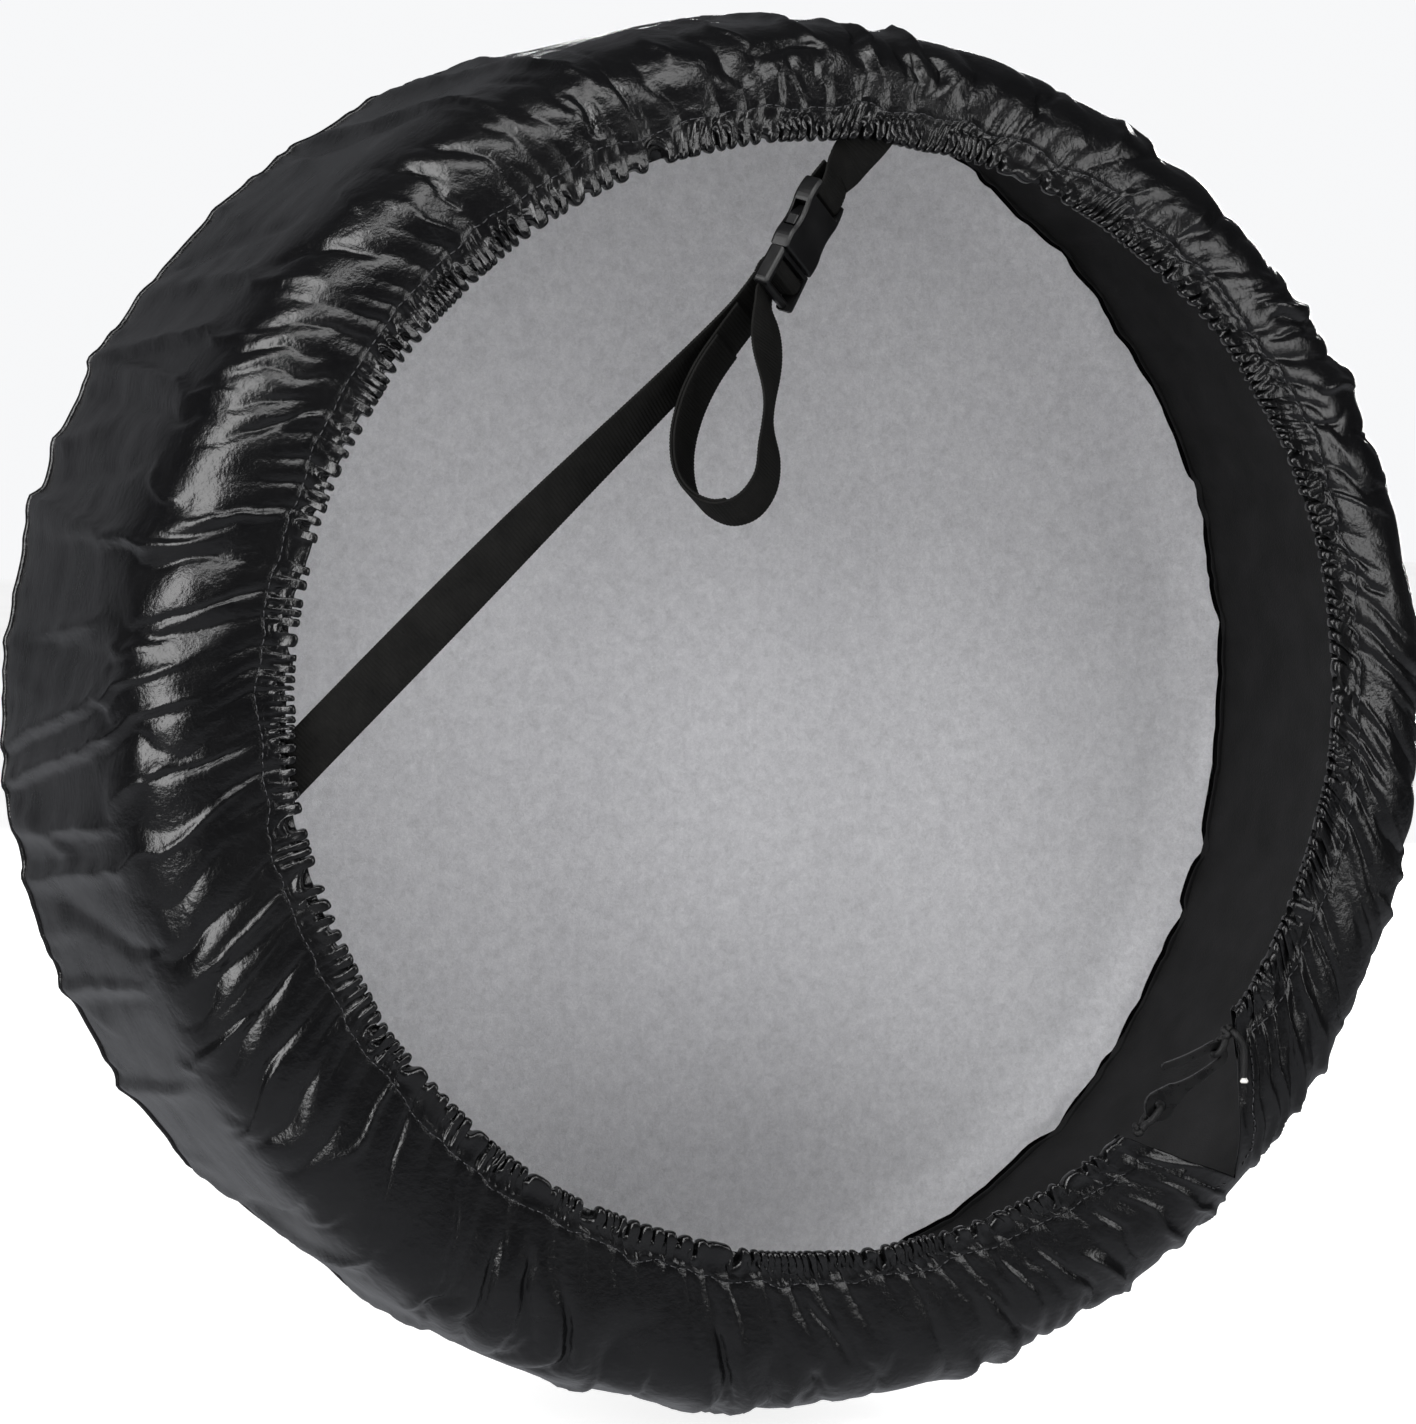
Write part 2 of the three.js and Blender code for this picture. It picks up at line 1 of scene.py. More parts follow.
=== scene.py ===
"""A fitted spare tyre cover of black synthetic leather, seen from its open side."""

import math

import bmesh
import bpy
import numpy as np
from mathutils import Matrix, Vector


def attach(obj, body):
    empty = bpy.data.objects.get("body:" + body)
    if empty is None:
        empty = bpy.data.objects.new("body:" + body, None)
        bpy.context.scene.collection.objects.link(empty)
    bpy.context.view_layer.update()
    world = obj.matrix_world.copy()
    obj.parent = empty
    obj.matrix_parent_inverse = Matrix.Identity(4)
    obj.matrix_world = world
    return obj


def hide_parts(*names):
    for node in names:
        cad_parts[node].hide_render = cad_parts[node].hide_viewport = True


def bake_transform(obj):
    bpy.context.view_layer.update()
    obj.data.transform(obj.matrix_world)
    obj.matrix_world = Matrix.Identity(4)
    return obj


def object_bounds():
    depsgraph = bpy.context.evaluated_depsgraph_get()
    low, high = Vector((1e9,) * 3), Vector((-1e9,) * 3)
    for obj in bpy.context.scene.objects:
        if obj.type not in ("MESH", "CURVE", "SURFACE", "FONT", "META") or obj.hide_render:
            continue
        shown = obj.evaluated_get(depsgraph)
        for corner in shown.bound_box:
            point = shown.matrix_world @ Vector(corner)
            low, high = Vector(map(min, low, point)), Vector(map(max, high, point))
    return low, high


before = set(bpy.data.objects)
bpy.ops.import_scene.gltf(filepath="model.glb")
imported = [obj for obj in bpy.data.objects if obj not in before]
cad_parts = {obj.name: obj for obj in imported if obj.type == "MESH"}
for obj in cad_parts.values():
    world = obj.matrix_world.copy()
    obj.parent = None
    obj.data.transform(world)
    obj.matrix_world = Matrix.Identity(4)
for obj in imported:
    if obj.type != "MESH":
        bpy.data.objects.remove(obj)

cad_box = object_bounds()

MM = 0.001
TAU = 2 * math.pi

# ---------------------------------- dimensions, in mm

HEM_SHIFT = np.array([6.0, 13.0])  # x and z of the hem's centre
STITCH_RADIUS = 289.4
SHIFTED_RADIUS = 292.3  # rows up to this radius have the whole of HEM_SHIFT
SHOULDER_RADIUS = 344.6  # rows from this radius on have none of it
SEAM_RADIUS = 345.0
SEAM_Y = 123.5
SEAM_SHARE = 0.9  # how much of the wall's last folds the face seam follows
PIPING_RADIUS = 2.0
FACE_Y = 129.0
FACE_RIM = 344.2
LINING_RIM = 339.0
ROUND = 2190.0  # round the tread, which turns widths into shares of u
WALL_WIDTH = 300.0  # over the wall, which turns q into a share of it
TREAD = (90, 150)  # the stretch of q in which the shoulder becomes the tread

NOTCH_TIP = np.array([234.0, -238.0])
NOTCH_UPPER = np.array([226.0, -155.0])
NOTCH_LOWER = np.array([165.0, -212.0])
NOTCH_ROLL, NOTCH_HEM = 0.9, 9.5  # radius of its turned edge, and the width turned under

STRAP_Y = -134.2
WEBBING_WIDTH = 25.0
WEBBING = 1.4
RIB = 1.9  # from one cross rib of the webbing to the next
RIB_HEIGHT = 0.17

BUCKLE_AT = Vector((-17.6, -146.0, 226.5))
BUCKLE_AXIS = Vector((-0.506, -0.106, -0.856)).normalized()
BUCKLE_FACE = BUCKLE_AXIS.cross(Vector((0.637, 0.623, -0.454))).normalized()
BUCKLE_SIDE = BUCKLE_FACE.cross(BUCKLE_AXIS).normalized()

HOOK_EYE = Vector((183.0, -141.0, -196.0))
HOOK_ALONG = Vector((0.8, 0.0, 0.6))
HOOK_UP = Vector((-0.6, 0.0, 0.8))
HOOK_BEND = HOOK_EYE + HOOK_ALONG * 39.5 + HOOK_UP * 1.5
KNOT_LOWER = Vector((172.5, -140.0, -207.5))
KNOT_UPPER = Vector((221.0, -140.0, -160.0))
ELASTIC_RADIUS = 1.9


def on_buckle(x, z):
    """A point in the buckle's middle plane: x along it towards the plug, z out of its face."""
    return BUCKLE_AT + BUCKLE_AXIS * x + BUCKLE_FACE * z


def at_depth(point, y):
    return Vector((point.x, y, point.z))


# ---------------------------------- materials


class Nodes:
    """A small builder for one material's node tree."""

    def __init__(self, name):
        self.material = bpy.data.materials.new(name)
        self.material.use_nodes = True
        self.tree = self.material.node_tree
        self.shader = self.tree.nodes["Principled BSDF"]
        self.place = self.add("ShaderNodeTexCoord").outputs["Object"]

    def add(self, kind, **values):
        node = self.tree.nodes.new(kind)
        for key, value in values.items():
            setattr(node, key, value)
        return node

    def link(self, source, target):
        self.tree.links.new(source, target)

    def noise(self, scale, detail, rough=0.5, warp=0.0):
        node = self.add("ShaderNodeTexNoise")
        node.inputs["Scale"].default_value = scale
        node.inputs["Detail"].default_value = detail
        node.inputs["Roughness"].default_value = rough
        node.inputs["Distortion"].default_value = warp
        self.link(self.place, node.inputs["Vector"])
        return node.outputs["Fac"]

    def cells(self, scale, feature="F1"):
        node = self.add("ShaderNodeTexVoronoi", feature=feature)
        node.inputs["Scale"].default_value = scale
        self.link(self.place, node.inputs["Vector"])
        return node.outputs["Distance"]

    def math(self, operation, a, b):
        node = self.add("ShaderNodeMath", operation=operation)
        for socket, value in zip(node.inputs, (a, b)):
            if isinstance(value, (int, float)):
                socket.default_value = value
            else:
                self.link(value, socket)
        return node.outputs["Value"]

    def ramp(self, value, stops):
        """Colours (r, g, b) at places of a value."""
        node = self.add("ShaderNodeValToRGB")
        elements = node.color_ramp.elements
        while len(elements) < len(stops):
            elements.new(0.5)
        for element, (at, colour) in zip(elements, stops):
            element.position = at
            element.color = (*colour, 1.0)
        self.link(value, node.inputs["Fac"])
        return node.outputs["Color"]

    def spread(self, value, low, high):
        """A noise's usual range, stretched to go from low to high."""
        node = self.add("ShaderNodeMapRange")
        for key, number in zip(("From Min", "From Max", "To Min", "To Max"), (0.3, 0.7, low, high)):
            node.inputs[key].default_value = number
        self.link(value, node.inputs["Value"])
        return node.outputs["Result"]

    def bump(self, height, distance, strength, under=None):
        node = self.add("ShaderNodeBump")
        node.inputs["Strength"].default_value = strength
        node.inputs["Distance"].default_value = distance
        self.link(height, node.inputs["Height"])
        if under is not None:
            self.link(under, node.inputs["Normal"])
        return node.outputs["Normal"]

    def finish(self, colour, roughness, normal, **numbers):
        """The material, with these sources and numbers on its shader's sockets."""
        sockets = {"Base Color": colour, "Roughness": roughness, "Normal": normal}
        for key, source in sockets.items():
            if source is not None:
                self.link(source, self.shader.inputs[key])
        for key, number in numbers.items():
            self.shader.inputs[key.replace("_", " ")].default_value = number
        return self.material


def vinyl_material():
    """Glossy black synthetic leather with a fine pebble grain."""
    n = Nodes("cover_vinyl_look")
    pebble = n.cells(950.0, "SMOOTH_F1")
    fine = n.noise(2600.0, 2.0, 0.6)
    soft = n.noise(260.0, 3.0, 0.55)
    height = n.math("ADD", n.math("MULTIPLY", pebble, 0.7), n.math("MULTIPLY", fine, 0.5))
    grain = n.bump(height, 0.00011, 0.75)
    wave = n.bump(soft, 0.0008, 0.6, under=grain)
    tone = n.ramp(n.noise(18.0, 4.0, 0.6),
                  [(0.3, (0.0018, 0.0018, 0.0021)), (0.7, (0.0036, 0.0036, 0.0038))])
    rough = n.spread(n.noise(30.0, 4.0, 0.6), 0.19, 0.29)
    return n.finish(tone, rough, wave, Specular_IOR_Level=0.42)


def backing_material():
    """The knitted back of the synthetic leather."""
    n = Nodes("wall_backing_look")
    weave = n.cells(900.0)
    fuzz = n.noise(1400.0, 3.0, 0.7)
    height = n.math("ADD", weave, n.math("MULTIPLY", fuzz, 0.6))
    tone = n.ramp(n.noise(35.0, 5.0, 0.65),
                  [(0.3, (0.007, 0.007, 0.0073)), (0.7, (0.014, 0.014, 0.0146))])
    return n.finish(tone, None, n.bump(height, 0.0003, 0.8), Roughness=0.92, Specular_IOR_Level=0.2)


def felt_material():
    """Pale non-woven felt, slightly cloudy."""
    n = Nodes("lining_felt_look")
    patches = n.noise(170.0, 5.0, 0.7, 0.3)
    fibres = n.noise(520.0, 5.0, 0.75, 1.2)
    mix = n.math("ADD", n.math("MULTIPLY", patches, 0.5), n.math("MULTIPLY", fibres, 0.5))
    tone = n.ramp(mix, [(0.36, (0.54, 0.54, 0.56)), (0.5, (0.65, 0.65, 0.675)),
                        (0.64, (0.76, 0.76, 0.785))])
    return n.finish(tone, None, n.bump(fibres, 0.0006, 0.5), Roughness=0.95)


def webbing_material():
    n = Nodes("webbing_look")
    yarn = n.noise(900.0, 4.0, 0.7)
    worn = n.noise(60.0, 4.0, 0.6)
    tone = n.ramp(n.math("ADD", n.math("MULTIPLY", yarn, 0.6), n.math("MULTIPLY", worn, 0.4)),
                  [(0.35, (0.0020, 0.0020, 0.0019)), (0.65, (0.0085, 0.0083, 0.0078))])
    return n.finish(tone, n.spread(yarn, 0.66, 0.85), n.bump(yarn, 0.0003, 0.9), Specular_IOR_Level=0.1)


def cord_material():
    n = Nodes("elastic_cover_look")
    braid = n.cells(1500.0)
    fuzz = n.noise(2200.0, 3.0, 0.6)
    height = n.math("ADD", braid, n.math("MULTIPLY", fuzz, 0.4))
    tone = n.ramp(braid, [(0.2, (0.007, 0.007, 0.0073)), (0.7, (0.0025, 0.0025, 0.0027))])
    return n.finish(tone, None, n.bump(height, 0.0003, 0.9), Roughness=0.5, Specular_IOR_Level=0.3)


def thread_material():
    n = Nodes("thread_look")
    twist = n.noise(3000.0, 2.0, 0.5)
    tone = n.ramp(twist, [(0.35, (0.008, 0.008, 0.009)), (0.65, (0.030, 0.030, 0.033))])
    return n.finish(tone, None, n.bump(twist, 0.0001, 0.6), Roughness=0.34)


def plastic_material(name, rough_low, rough_high):
    n = Nodes(name)
    pits = n.noise(1500.0, 4.0, 0.65)
    wear = n.noise(90.0, 5.0, 0.7)
    tone = n.ramp(wear, [(0.35, (0.0020, 0.0020, 0.0022)), (0.75, (0.0042, 0.0042, 0.0045))])
    return n.finish(tone, n.spread(wear, rough_low, rough_high), n.bump(pits, 0.00006, 0.5),
                    Specular_IOR_Level=0.4)


def rubber_material():
    n = Nodes("elastic_rubber_look")
    strands = n.cells(2200.0)
    tone = n.ramp(strands, [(0.1, (0.86, 0.85, 0.82)), (0.6, (0.62, 0.61, 0.58))])
    return n.finish(tone, None, n.bump(strands, 0.0003, 0.8), Roughness=0.6)


VINYL = vinyl_material()
BACKING = backing_material()
FELT = felt_material()
WEBBING_LOOK = webbing_material()
CORD_LOOK = cord_material()
THREAD = thread_material()
BUCKLE_LOOK = plastic_material("buckle_plastic_look", 0.3, 0.44)
HOOK_LOOK = plastic_material("hook_plastic_look", 0.22, 0.36)
RUBBER = rubber_material()

# ---------------------------------- mesh helpers


def make_object(name, points, faces, material, body="cover"):
    """A smooth mesh object from points in mm, riding on a body."""
    mesh = bpy.data.meshes.new(name)
    mesh.from_pydata((np.asarray(points, float) * MM).tolist(), [], [list(map(int, f)) for f in faces])
    mesh.validate()
    mesh.materials.append(material)
    mesh.polygons.foreach_set("use_smooth", [True] * len(mesh.polygons))
    obj = bpy.data.objects.new(name, mesh)
    bpy.context.scene.collection.objects.link(obj)
    if body:
        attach(obj, body)
    return obj


def grid_faces(rows, columns, start=0):
    """Quads of a grid of points that is stored row by row."""
    r, c = np.meshgrid(np.arange(rows - 1), np.arange(columns - 1), indexing="ij")
    a = (start + r * columns + c).ravel()
    return np.stack([a, a + 1, a + columns + 1, a + columns], axis=1)


def weld(obj, distance):
    """Points closer than a distance in mm become one."""
    edit = bmesh.new()
    edit.from_mesh(obj.data)
    bmesh.ops.remove_doubles(edit, verts=edit.verts, dist=distance * MM)
    edit.to_mesh(obj.data)
    edit.free()


def smooth(value):
    """A soft step: 0 up to 0, 1 from 1 on."""
    value = np.clip(value, 0.0, 1.0)
    return value * value * (3 - 2 * value)


def ease(value, start, stop):
    """A soft step from 0 at start to 1 at stop, which may lie below start."""
    return smooth((np.asarray(value, float) - start) / (stop - start))


def round_noise(u, v, around, across, seed):
    """Smooth noise from -1 to 1 that closes on itself in u, with v from 0 to 1."""
    table = np.random.RandomState(seed).uniform(-1, 1, (across + 2, around))
    x = np.asarray(u, float) * around
    y = np.clip(np.asarray(v, float), 0, 1) * across
    x0 = np.floor(x).astype(int)
    y0 = np.minimum(np.floor(y).astype(int), across)
    fx, fy = smooth(x - x0), smooth(y - y0)
    a, b = x0 % around, (x0 + 1) % around
    low = table[y0, a] * (1 - fx) + table[y0, b] * fx
    high = table[y0 + 1, a] * (1 - fx) + table[y0 + 1, b] * fx
    return low * (1 - fy) + high * fy


def ring_noise(u, cells, seed):
    """The same noise where it only changes round the cover."""
    return round_noise(u, 0, cells, 1, seed)


def path_length(points):
    """How far along a path each of its points lies, in mm."""
    return np.concatenate([[0], np.cumsum(np.linalg.norm(np.diff(points, axis=0), axis=1))])


def directions(path):
    """The unit direction of a path at each of its points."""
    along = np.gradient(path, axis=0)
    return along / np.linalg.norm(along, axis=1)[:, None]


def catmull(points, count):
    """A centripetal Catmull-Rom curve through the points, sampled at equal steps of length."""
    p = [Vector(q) for q in points]
    p = [p[0] * 2 - p[1]] + p + [p[-1] * 2 - p[-2]]
    dense = []
    for a, b, c, d in zip(p, p[1:], p[2:], p[3:]):
        t1 = (b - a).length ** 0.5
        t2 = t1 + (c - b).length ** 0.5
        t3 = t2 + (d - c).length ** 0.5
        for k in range(24):
            t = t1 + (t2 - t1) * k / 24
            ab = a * ((t1 - t) / t1) + b * (t / t1)
            bc = b * ((t2 - t) / (t2 - t1)) + c * ((t - t1) / (t2 - t1))
            cd = c * ((t3 - t) / (t3 - t2)) + d * ((t - t2) / (t3 - t2))
            abc = ab * ((t2 - t) / t2) + bc * (t / t2)
            bcd = bc * ((t3 - t) / (t3 - t1)) + cd * ((t - t1) / (t3 - t1))
            dense.append(abc * ((t2 - t) / (t2 - t1)) + bcd * ((t - t1) / (t2 - t1)))
    dense.append(p[-2])
    dense = np.array([tuple(q) for q in dense])
    length = path_length(dense)
    at = np.linspace(0, length[-1], count)
    return np.stack([np.interp(at, length, dense[:, k]) for k in range(3)], axis=1)


def resample(line, step):
    """Points at about equal steps along a polyline of [r, y], rounded by a spline."""
    flat = catmull([(r, y, 0) for r, y in line], 400)
    length = path_length(flat)
    at = np.linspace(0, length[-1], max(2, round(length[-1] / step) + 1))
    return at, np.stack([np.interp(at, length, flat[:, k]) for k in range(2)], axis=1)


# ---------------------------------- the side wall as one sheet
# u goes round the cover from the notch's upper edge to its lower edge, from 0 to 1. q is the
# distance over the sheet from the casing's stitch line, towards the face seam.

# profiles of [r, y]: the wall from the stitches to the face seam, and the casing round its turn
WALL_LINE = [
    (STITCH_RADIUS, -140.4), (297, -139.3), (310, -137.4), (322, -133.4), (332, -126.6),
    (339.5, -117), (343.6, -105), (346.6, -86), (347.8, -50), (348.2, 0), (348, 70),
    (347, 104), (344.9, 123.0),
]
WALL_STEP = 1.9
HEM_LINE = [
    (STITCH_RADIUS, -140.4), (286, -139.8), (282, -140.0), (278, -140.9), (275.2, -141.3),
    (274.0, -140.9), (273.4, -139.8), (273.1, -138.2), (273.3, -136.6), (274.5, -135.6),
    (277, -135.2), (282, -136.1), (286, -136.9), (290.5, -137.2),
]
HEM_STEP = 0.95

# folds that stand out in the photograph: u, first and last q, drift, widths, height, skew
SEEN_FOLDS = [
    (0.532, 40, 420, 0.013, 3.0, 13.0, 5.2, -0.6),
    (0.586, 24, 440, -0.016, 2.6, 13.0, 5.4, 0.6),
    (0.613, 6, 400, 0.030, 2.4, 13.0, 5.4, -0.5),
    (0.6215, 0, 420, 0.032, 2.2, 11.0, 5.0, -0.5),
    (0.652, 10, 420, 0.020, 2.4, 12.0, 4.2, 0.5),
    (0.0045, -6, 60, 0.0, 1.1, 2.0, 2.8, 0.4),
    (0.0078, -6, 66, 0.0005, 1.1, 2.2, 3.1, -0.4),
    (0.0115, -6, 70, 0.001, 1.2, 2.6, 3.4, 0.5),
    (0.0160, -6, 74, 0.002, 1.4, 3.2, 3.5, -0.5),
    (0.0225, -2, 78, 0.003, 1.7, 4.0, 3.6, 0.5),
    (0.0310, -2, 84, 0.006, 2.2, 5.0, 3.6, 0.5),
    (0.9950, 2, 120, 0.0, 1.2, 2.4, 1.8, -0.4),
    (0.9900, 6, 150, -0.002, 1.6, 3.6, 2.6, 0.4),
    (0.9820, 2, 180, -0.006, 2.0, 5.4, 3.0, 0.4),
]


def random_strokes():
    """Folds as strokes, each as in SEEN_FOLDS."""
    span = np.random.RandomState(11).uniform
    strokes = []

    def scatter(count, q0, q1, drift, w0, w1, height, skew=(-0.5, 0.5)):
        """Strokes spaced round the cover, with each value drawn from its range."""
        for k in range(count):
            u = (k + span(0.0, 1.0)) / count
            strokes.append((u, span(*q0), span(*q1), span(-drift, drift), span(*w0), span(*w1),
                            span(*height), span(*skew)))

    # ridges and hollows from the gathers, then on the shoulder
    scatter(18, (-7, 3), (26, 70), 0.006, (1.6, 3.0), (3.0, 7.0), (0.9, 2.0), (-0.7, 0.7))
    scatter(30, (-2, 14), (30, 90), 0.008, (0.9, 1.6), (1.8, 3.6), (-2.6, -1.0), (-0.7, 0.7))
    scatter(27, (10, 46), (84, 140), 0.011, (2.4, 5.0), (6.0, 11.0), (1.6, 3.6), (-0.7, 0.7))
    scatter(25, (16, 50), (80, 150), 0.011, (1.8, 3.4), (4.0, 8.0), (-2.6, -1.2), (-0.7, 0.7))
    # long folds and hollows over the tread, its broad waves, and puckers at the face seam
    scatter(27, (4, 66), (330, 450), 0.024, (2.6, 4.6), (10.0, 17.0), (2.8, 5.4), (-0.75, 0.75))
    scatter(25, (20, 80), (300, 430), 0.024, (2.6, 4.6), (10.0, 20.0), (-3.4, -1.6), (-0.6, 0.6))
    scatter(30, (130, 200), (330, 420), 0.016, (6.0, 10.0), (9.0, 16.0), (1.2, 3.4), (-0.7, 0.7))
    scatter(60, (250, 270), (310, 340), 0.003, (4.0, 7.0), (5.0, 9.0), (0.5, 1.8))
    return strokes + SEEN_FOLDS


STROKES = random_strokes()


def stroke_height(u, q):
    """The strokes' sum on a grid of rows q and columns u."""
    height = np.zeros((len(q), len(u)))
    for at, q0, q1, drift, w0, w1, high, skew in STROKES:
        rows = np.flatnonzero((q > q0) & (q < q1))
        if not len(rows):
            continue
        t = (q[rows] - q0) / (q1 - q0)
        width = (w0 + (w1 - w0) * t) / ROUND
        fade = smooth(t / 0.22) * smooth((1 - t) / 0.45)
        for lap in (-1, 0, 1):
            centre = at + drift * t + lap
            reach = 3 * width.max() * (1 + abs(skew))
            columns = np.flatnonzero((u > centre.min() - reach) & (u < centre.max() + reach))
            if not len(columns):
                continue
            away = u[columns][None, :] - centre[:, None]
            wide = width[:, None] * np.where(away > 0, 1 + skew, 1 - skew)
            shape = 1 / (1 + (away / wide) ** 2) ** 2
            height[np.ix_(rows, columns)] += high * fade[:, None] * shape
    return height


# how many gathers of each size there are round the cover, and their heights in mm
RUFFLES, RUFFLE_HEIGHT = 262, 1.5
PUCKERS, PUCKER_HEIGHT = 124, 1.6
PILLOWS, PILLOW_HEIGHT = 71, 3.5


def near_notch(u):
    """From 1 along the cover to 0 at the notch's edges, where nothing is gathered."""
    return ease(np.minimum(u, 1 - u), 0.001, 0.009)


def ruffle_phase(u, q):
    """The ruffles' phase at the hem, in turns: uneven, and leaning to and fro."""
    drift = 0.75 * ring_noise(u, 118, 21) + 2.4 * ring_noise(u, 31, 22)
    lean = 0.28 * ring_noise(u, 147, 23) * ease(-q, 2, 12)
    return RUFFLES * u + drift + lean


def ruffle_size(u, q):
    """The ruffles' height: full at the hem's edge, and gone a little past the stitches."""
    start = 5.0 + 4.0 * ring_noise(u, 96, 28)
    rise = (0.12 + 0.88 * ease(-q, start - 4, start + 8)) * ease(-q, -6, 0)
    vary = 1.0 + 0.62 * ring_noise(u, 205, 24)
    return RUFFLE_HEIGHT * rise * vary * near_notch(u)


def pucker_height(u, q):
    """Wider gathers at the stitches, two ruffles or so to each."""
    phase = PUCKERS * u + 0.8 * ring_noise(u, 57, 31)
    bump = np.abs(np.sin(math.pi * phase)) ** 0.8 - 0.6
    vary = 0.75 + 0.6 * ring_noise(u, 90, 32)
    fade = ease(q, 34, 1) * (1 - 0.55 * ease(-q, 6, 16))
    return PUCKER_HEIGHT * bump * vary * fade * near_notch(u)


def pillow_height(u, q):
    """Soft pillows with sharp creases between them, from the stitches over the shoulder."""
    warp = 1.5 * ring_noise(u, 27, 33) + 0.32 * round_noise(u, q / WALL_WIDTH, 52, 11, 34)
    lean = 0.55 * q / 80 * ring_noise(u, 15, 37)
    bump = np.abs(np.sin(math.pi * (PILLOWS * u + warp + lean))) ** 0.66 - 0.62
    vary = 0.85 + 0.75 * ring_noise(u, 44, 35)
    stop = 74 + 26 * ring_noise(u, 38, 36)
    calm = ease(np.minimum(u, 1 - u), 0.004, 0.04)
    return PILLOW_HEIGHT * bump * vary * ease(q, 2, 34) * ease(q, stop + 26, stop - 26) * calm


# the sheet's unevenness: height in mm, cells round and over the wall, seed, the q where it
# starts and where it is full, and the share of it that is lost on the tread
UNEVEN = [
    (1.6, 26, 3, 41, 30, 110, 0.0),
    (0.5, 64, 14, 44, 70, 130, 0.0),
    (0.5, 110, 7, 42, 6, 40, 0.5),
    (0.12, 260, 42, 43, 4, 30, 0.4),
]


def wall_height(u, q):
    """How far the sheet stands off its smooth shape, on rows q and columns u."""
    uu, qq = np.meshgrid(u, q)
    height = stroke_height(u, q)
    for high, around, across, seed, start, full, lost in UNEVEN:
        layer = high * round_noise(uu, qq / WALL_WIDTH, around, across, seed) * ease(qq, start, full)
        height += layer * (1 - lost * ease(qq, *TREAD))
    height += pucker_height(uu, qq) + pillow_height(uu, qq)
    stitched = np.exp(-((qq / 1.3) ** 2))
    return height - 0.7 * stitched * near_notch(uu)


def wander(height, u, q):
    """The folds made to wander: each height is taken from a little way off."""
    uu, qq = np.meshgrid(u, q)
    grow = ease(qq, 3, 26) * (1 - 0.75 * ease(qq, 80, 130))
    v = qq / WALL_WIDTH
    aside = 0.0023 * round_noise(uu, v, 74, 15, 71) + 0.0005 * round_noise(uu, v, 190, 44, 72)
    beyond = 9.0 * round_noise(uu, v, 60, 10, 73) + 2.5 * round_noise(uu, v, 170, 34, 74)
    row = np.interp(qq + beyond * grow, q, np.arange(len(q)))
    column = ((uu + aside * grow * near_notch(uu)) % 1) * (len(u) - 1)
    r0, c0 = np.floor(row).astype(int), np.floor(column).astype(int)
    r1, c1 = np.minimum(r0 + 1, len(q) - 1), np.minimum(c0 + 1, len(u) - 1)
    fr, fc = row - r0, column - c0
    low = height[r0, c0] * (1 - fc) + height[r0, c1] * fc
    high = height[r1, c0] * (1 - fc) + height[r1, c1] * fc
    return low * (1 - fr) + high * fr


def stitch_wave(u, q):
    """How far gathering draws the stitch line in and out, in mm."""
    wave = 2.1 * ring_noise(u, 132, 75) + 0.7 * ring_noise(u, 300, 76)
    return wave * math.exp(-((q / 8.0) ** 2)) * near_notch(u)


def row_circle(r):
    """Centre and radius of a row: the gathered hem sits off the tyre's axis."""
    share = np.clip((SHOULDER_RADIUS - r) / (SHOULDER_RADIUS - SHIFTED_RADIUS), 0, 1)
    return HEM_SHIFT * share, r


def notch_angles(r):
    """Angles of a row at the notch's upper and lower edge; both the tip's angle past its tip."""
    centre, radius = row_circle(r)
    away = NOTCH_TIP - centre
    angles = []
    for corner in (NOTCH_UPPER, NOTCH_LOWER):
        along = corner - NOTCH_TIP
        a, b, c = along @ along, 2 * away @ along, away @ away - radius**2
        t = 0.0 if c <= 0 else (-b - math.sqrt(max(b * b - 4 * a * c, 0))) / (2 * a)
        point = away + along * t
        angles.append(math.atan2(point[1], point[0]))
    return angles


def place_rows(line, q, u, height, slide=None, push=None):
    """Points of the sheet: rows of a profile line [r, y] at q, columns u, raised by height.
    slide moves a point round the cover and push moves it along [r, y], in mm."""
    along = directions(line)
    outward = 1 if line[-1, 0] > line[0, 0] + 20 else -1
    normal = np.stack([along[:, 1], -along[:, 0]], axis=1) * outward
    points = np.zeros((len(q), len(u), 3))
    for k, (r, y) in enumerate(line):
        centre, radius = row_circle(r)
        upper, lower = notch_angles(r)
        angle = upper + u * (lower + TAU - upper)
        if slide is not None:
            angle = angle + slide[k] / radius
        radial = radius + normal[k, 0] * height[k] + stitch_wave(u, q[k])
        depth = y + normal[k, 1] * height[k]
        if push is not None:
            radial = radial + push[0][k]
            depth = depth + push[1][k]
        points[k, :, 0] = centre[0] + radial * np.cos(angle)
        points[k, :, 1] = depth
        points[k, :, 2] = centre[1] + radial * np.sin(angle)
    return points


def sheet_rows():
    """The wall's rows: q, the profile, the notch's tip, the last fine row and the tread's rows."""
    q, line = resample(WALL_LINE, WALL_STEP)
    open_row = [np.linalg.norm(NOTCH_TIP - row_circle(r)[0]) > r for r, _ in line]
    tip = open_row.index(False)
    side = int(np.searchsorted(q, 80.0))
    tread = np.unique(np.round(np.linspace(side, len(q) - 1, 46)).astype(int))
    return q, line, tip, side, tread


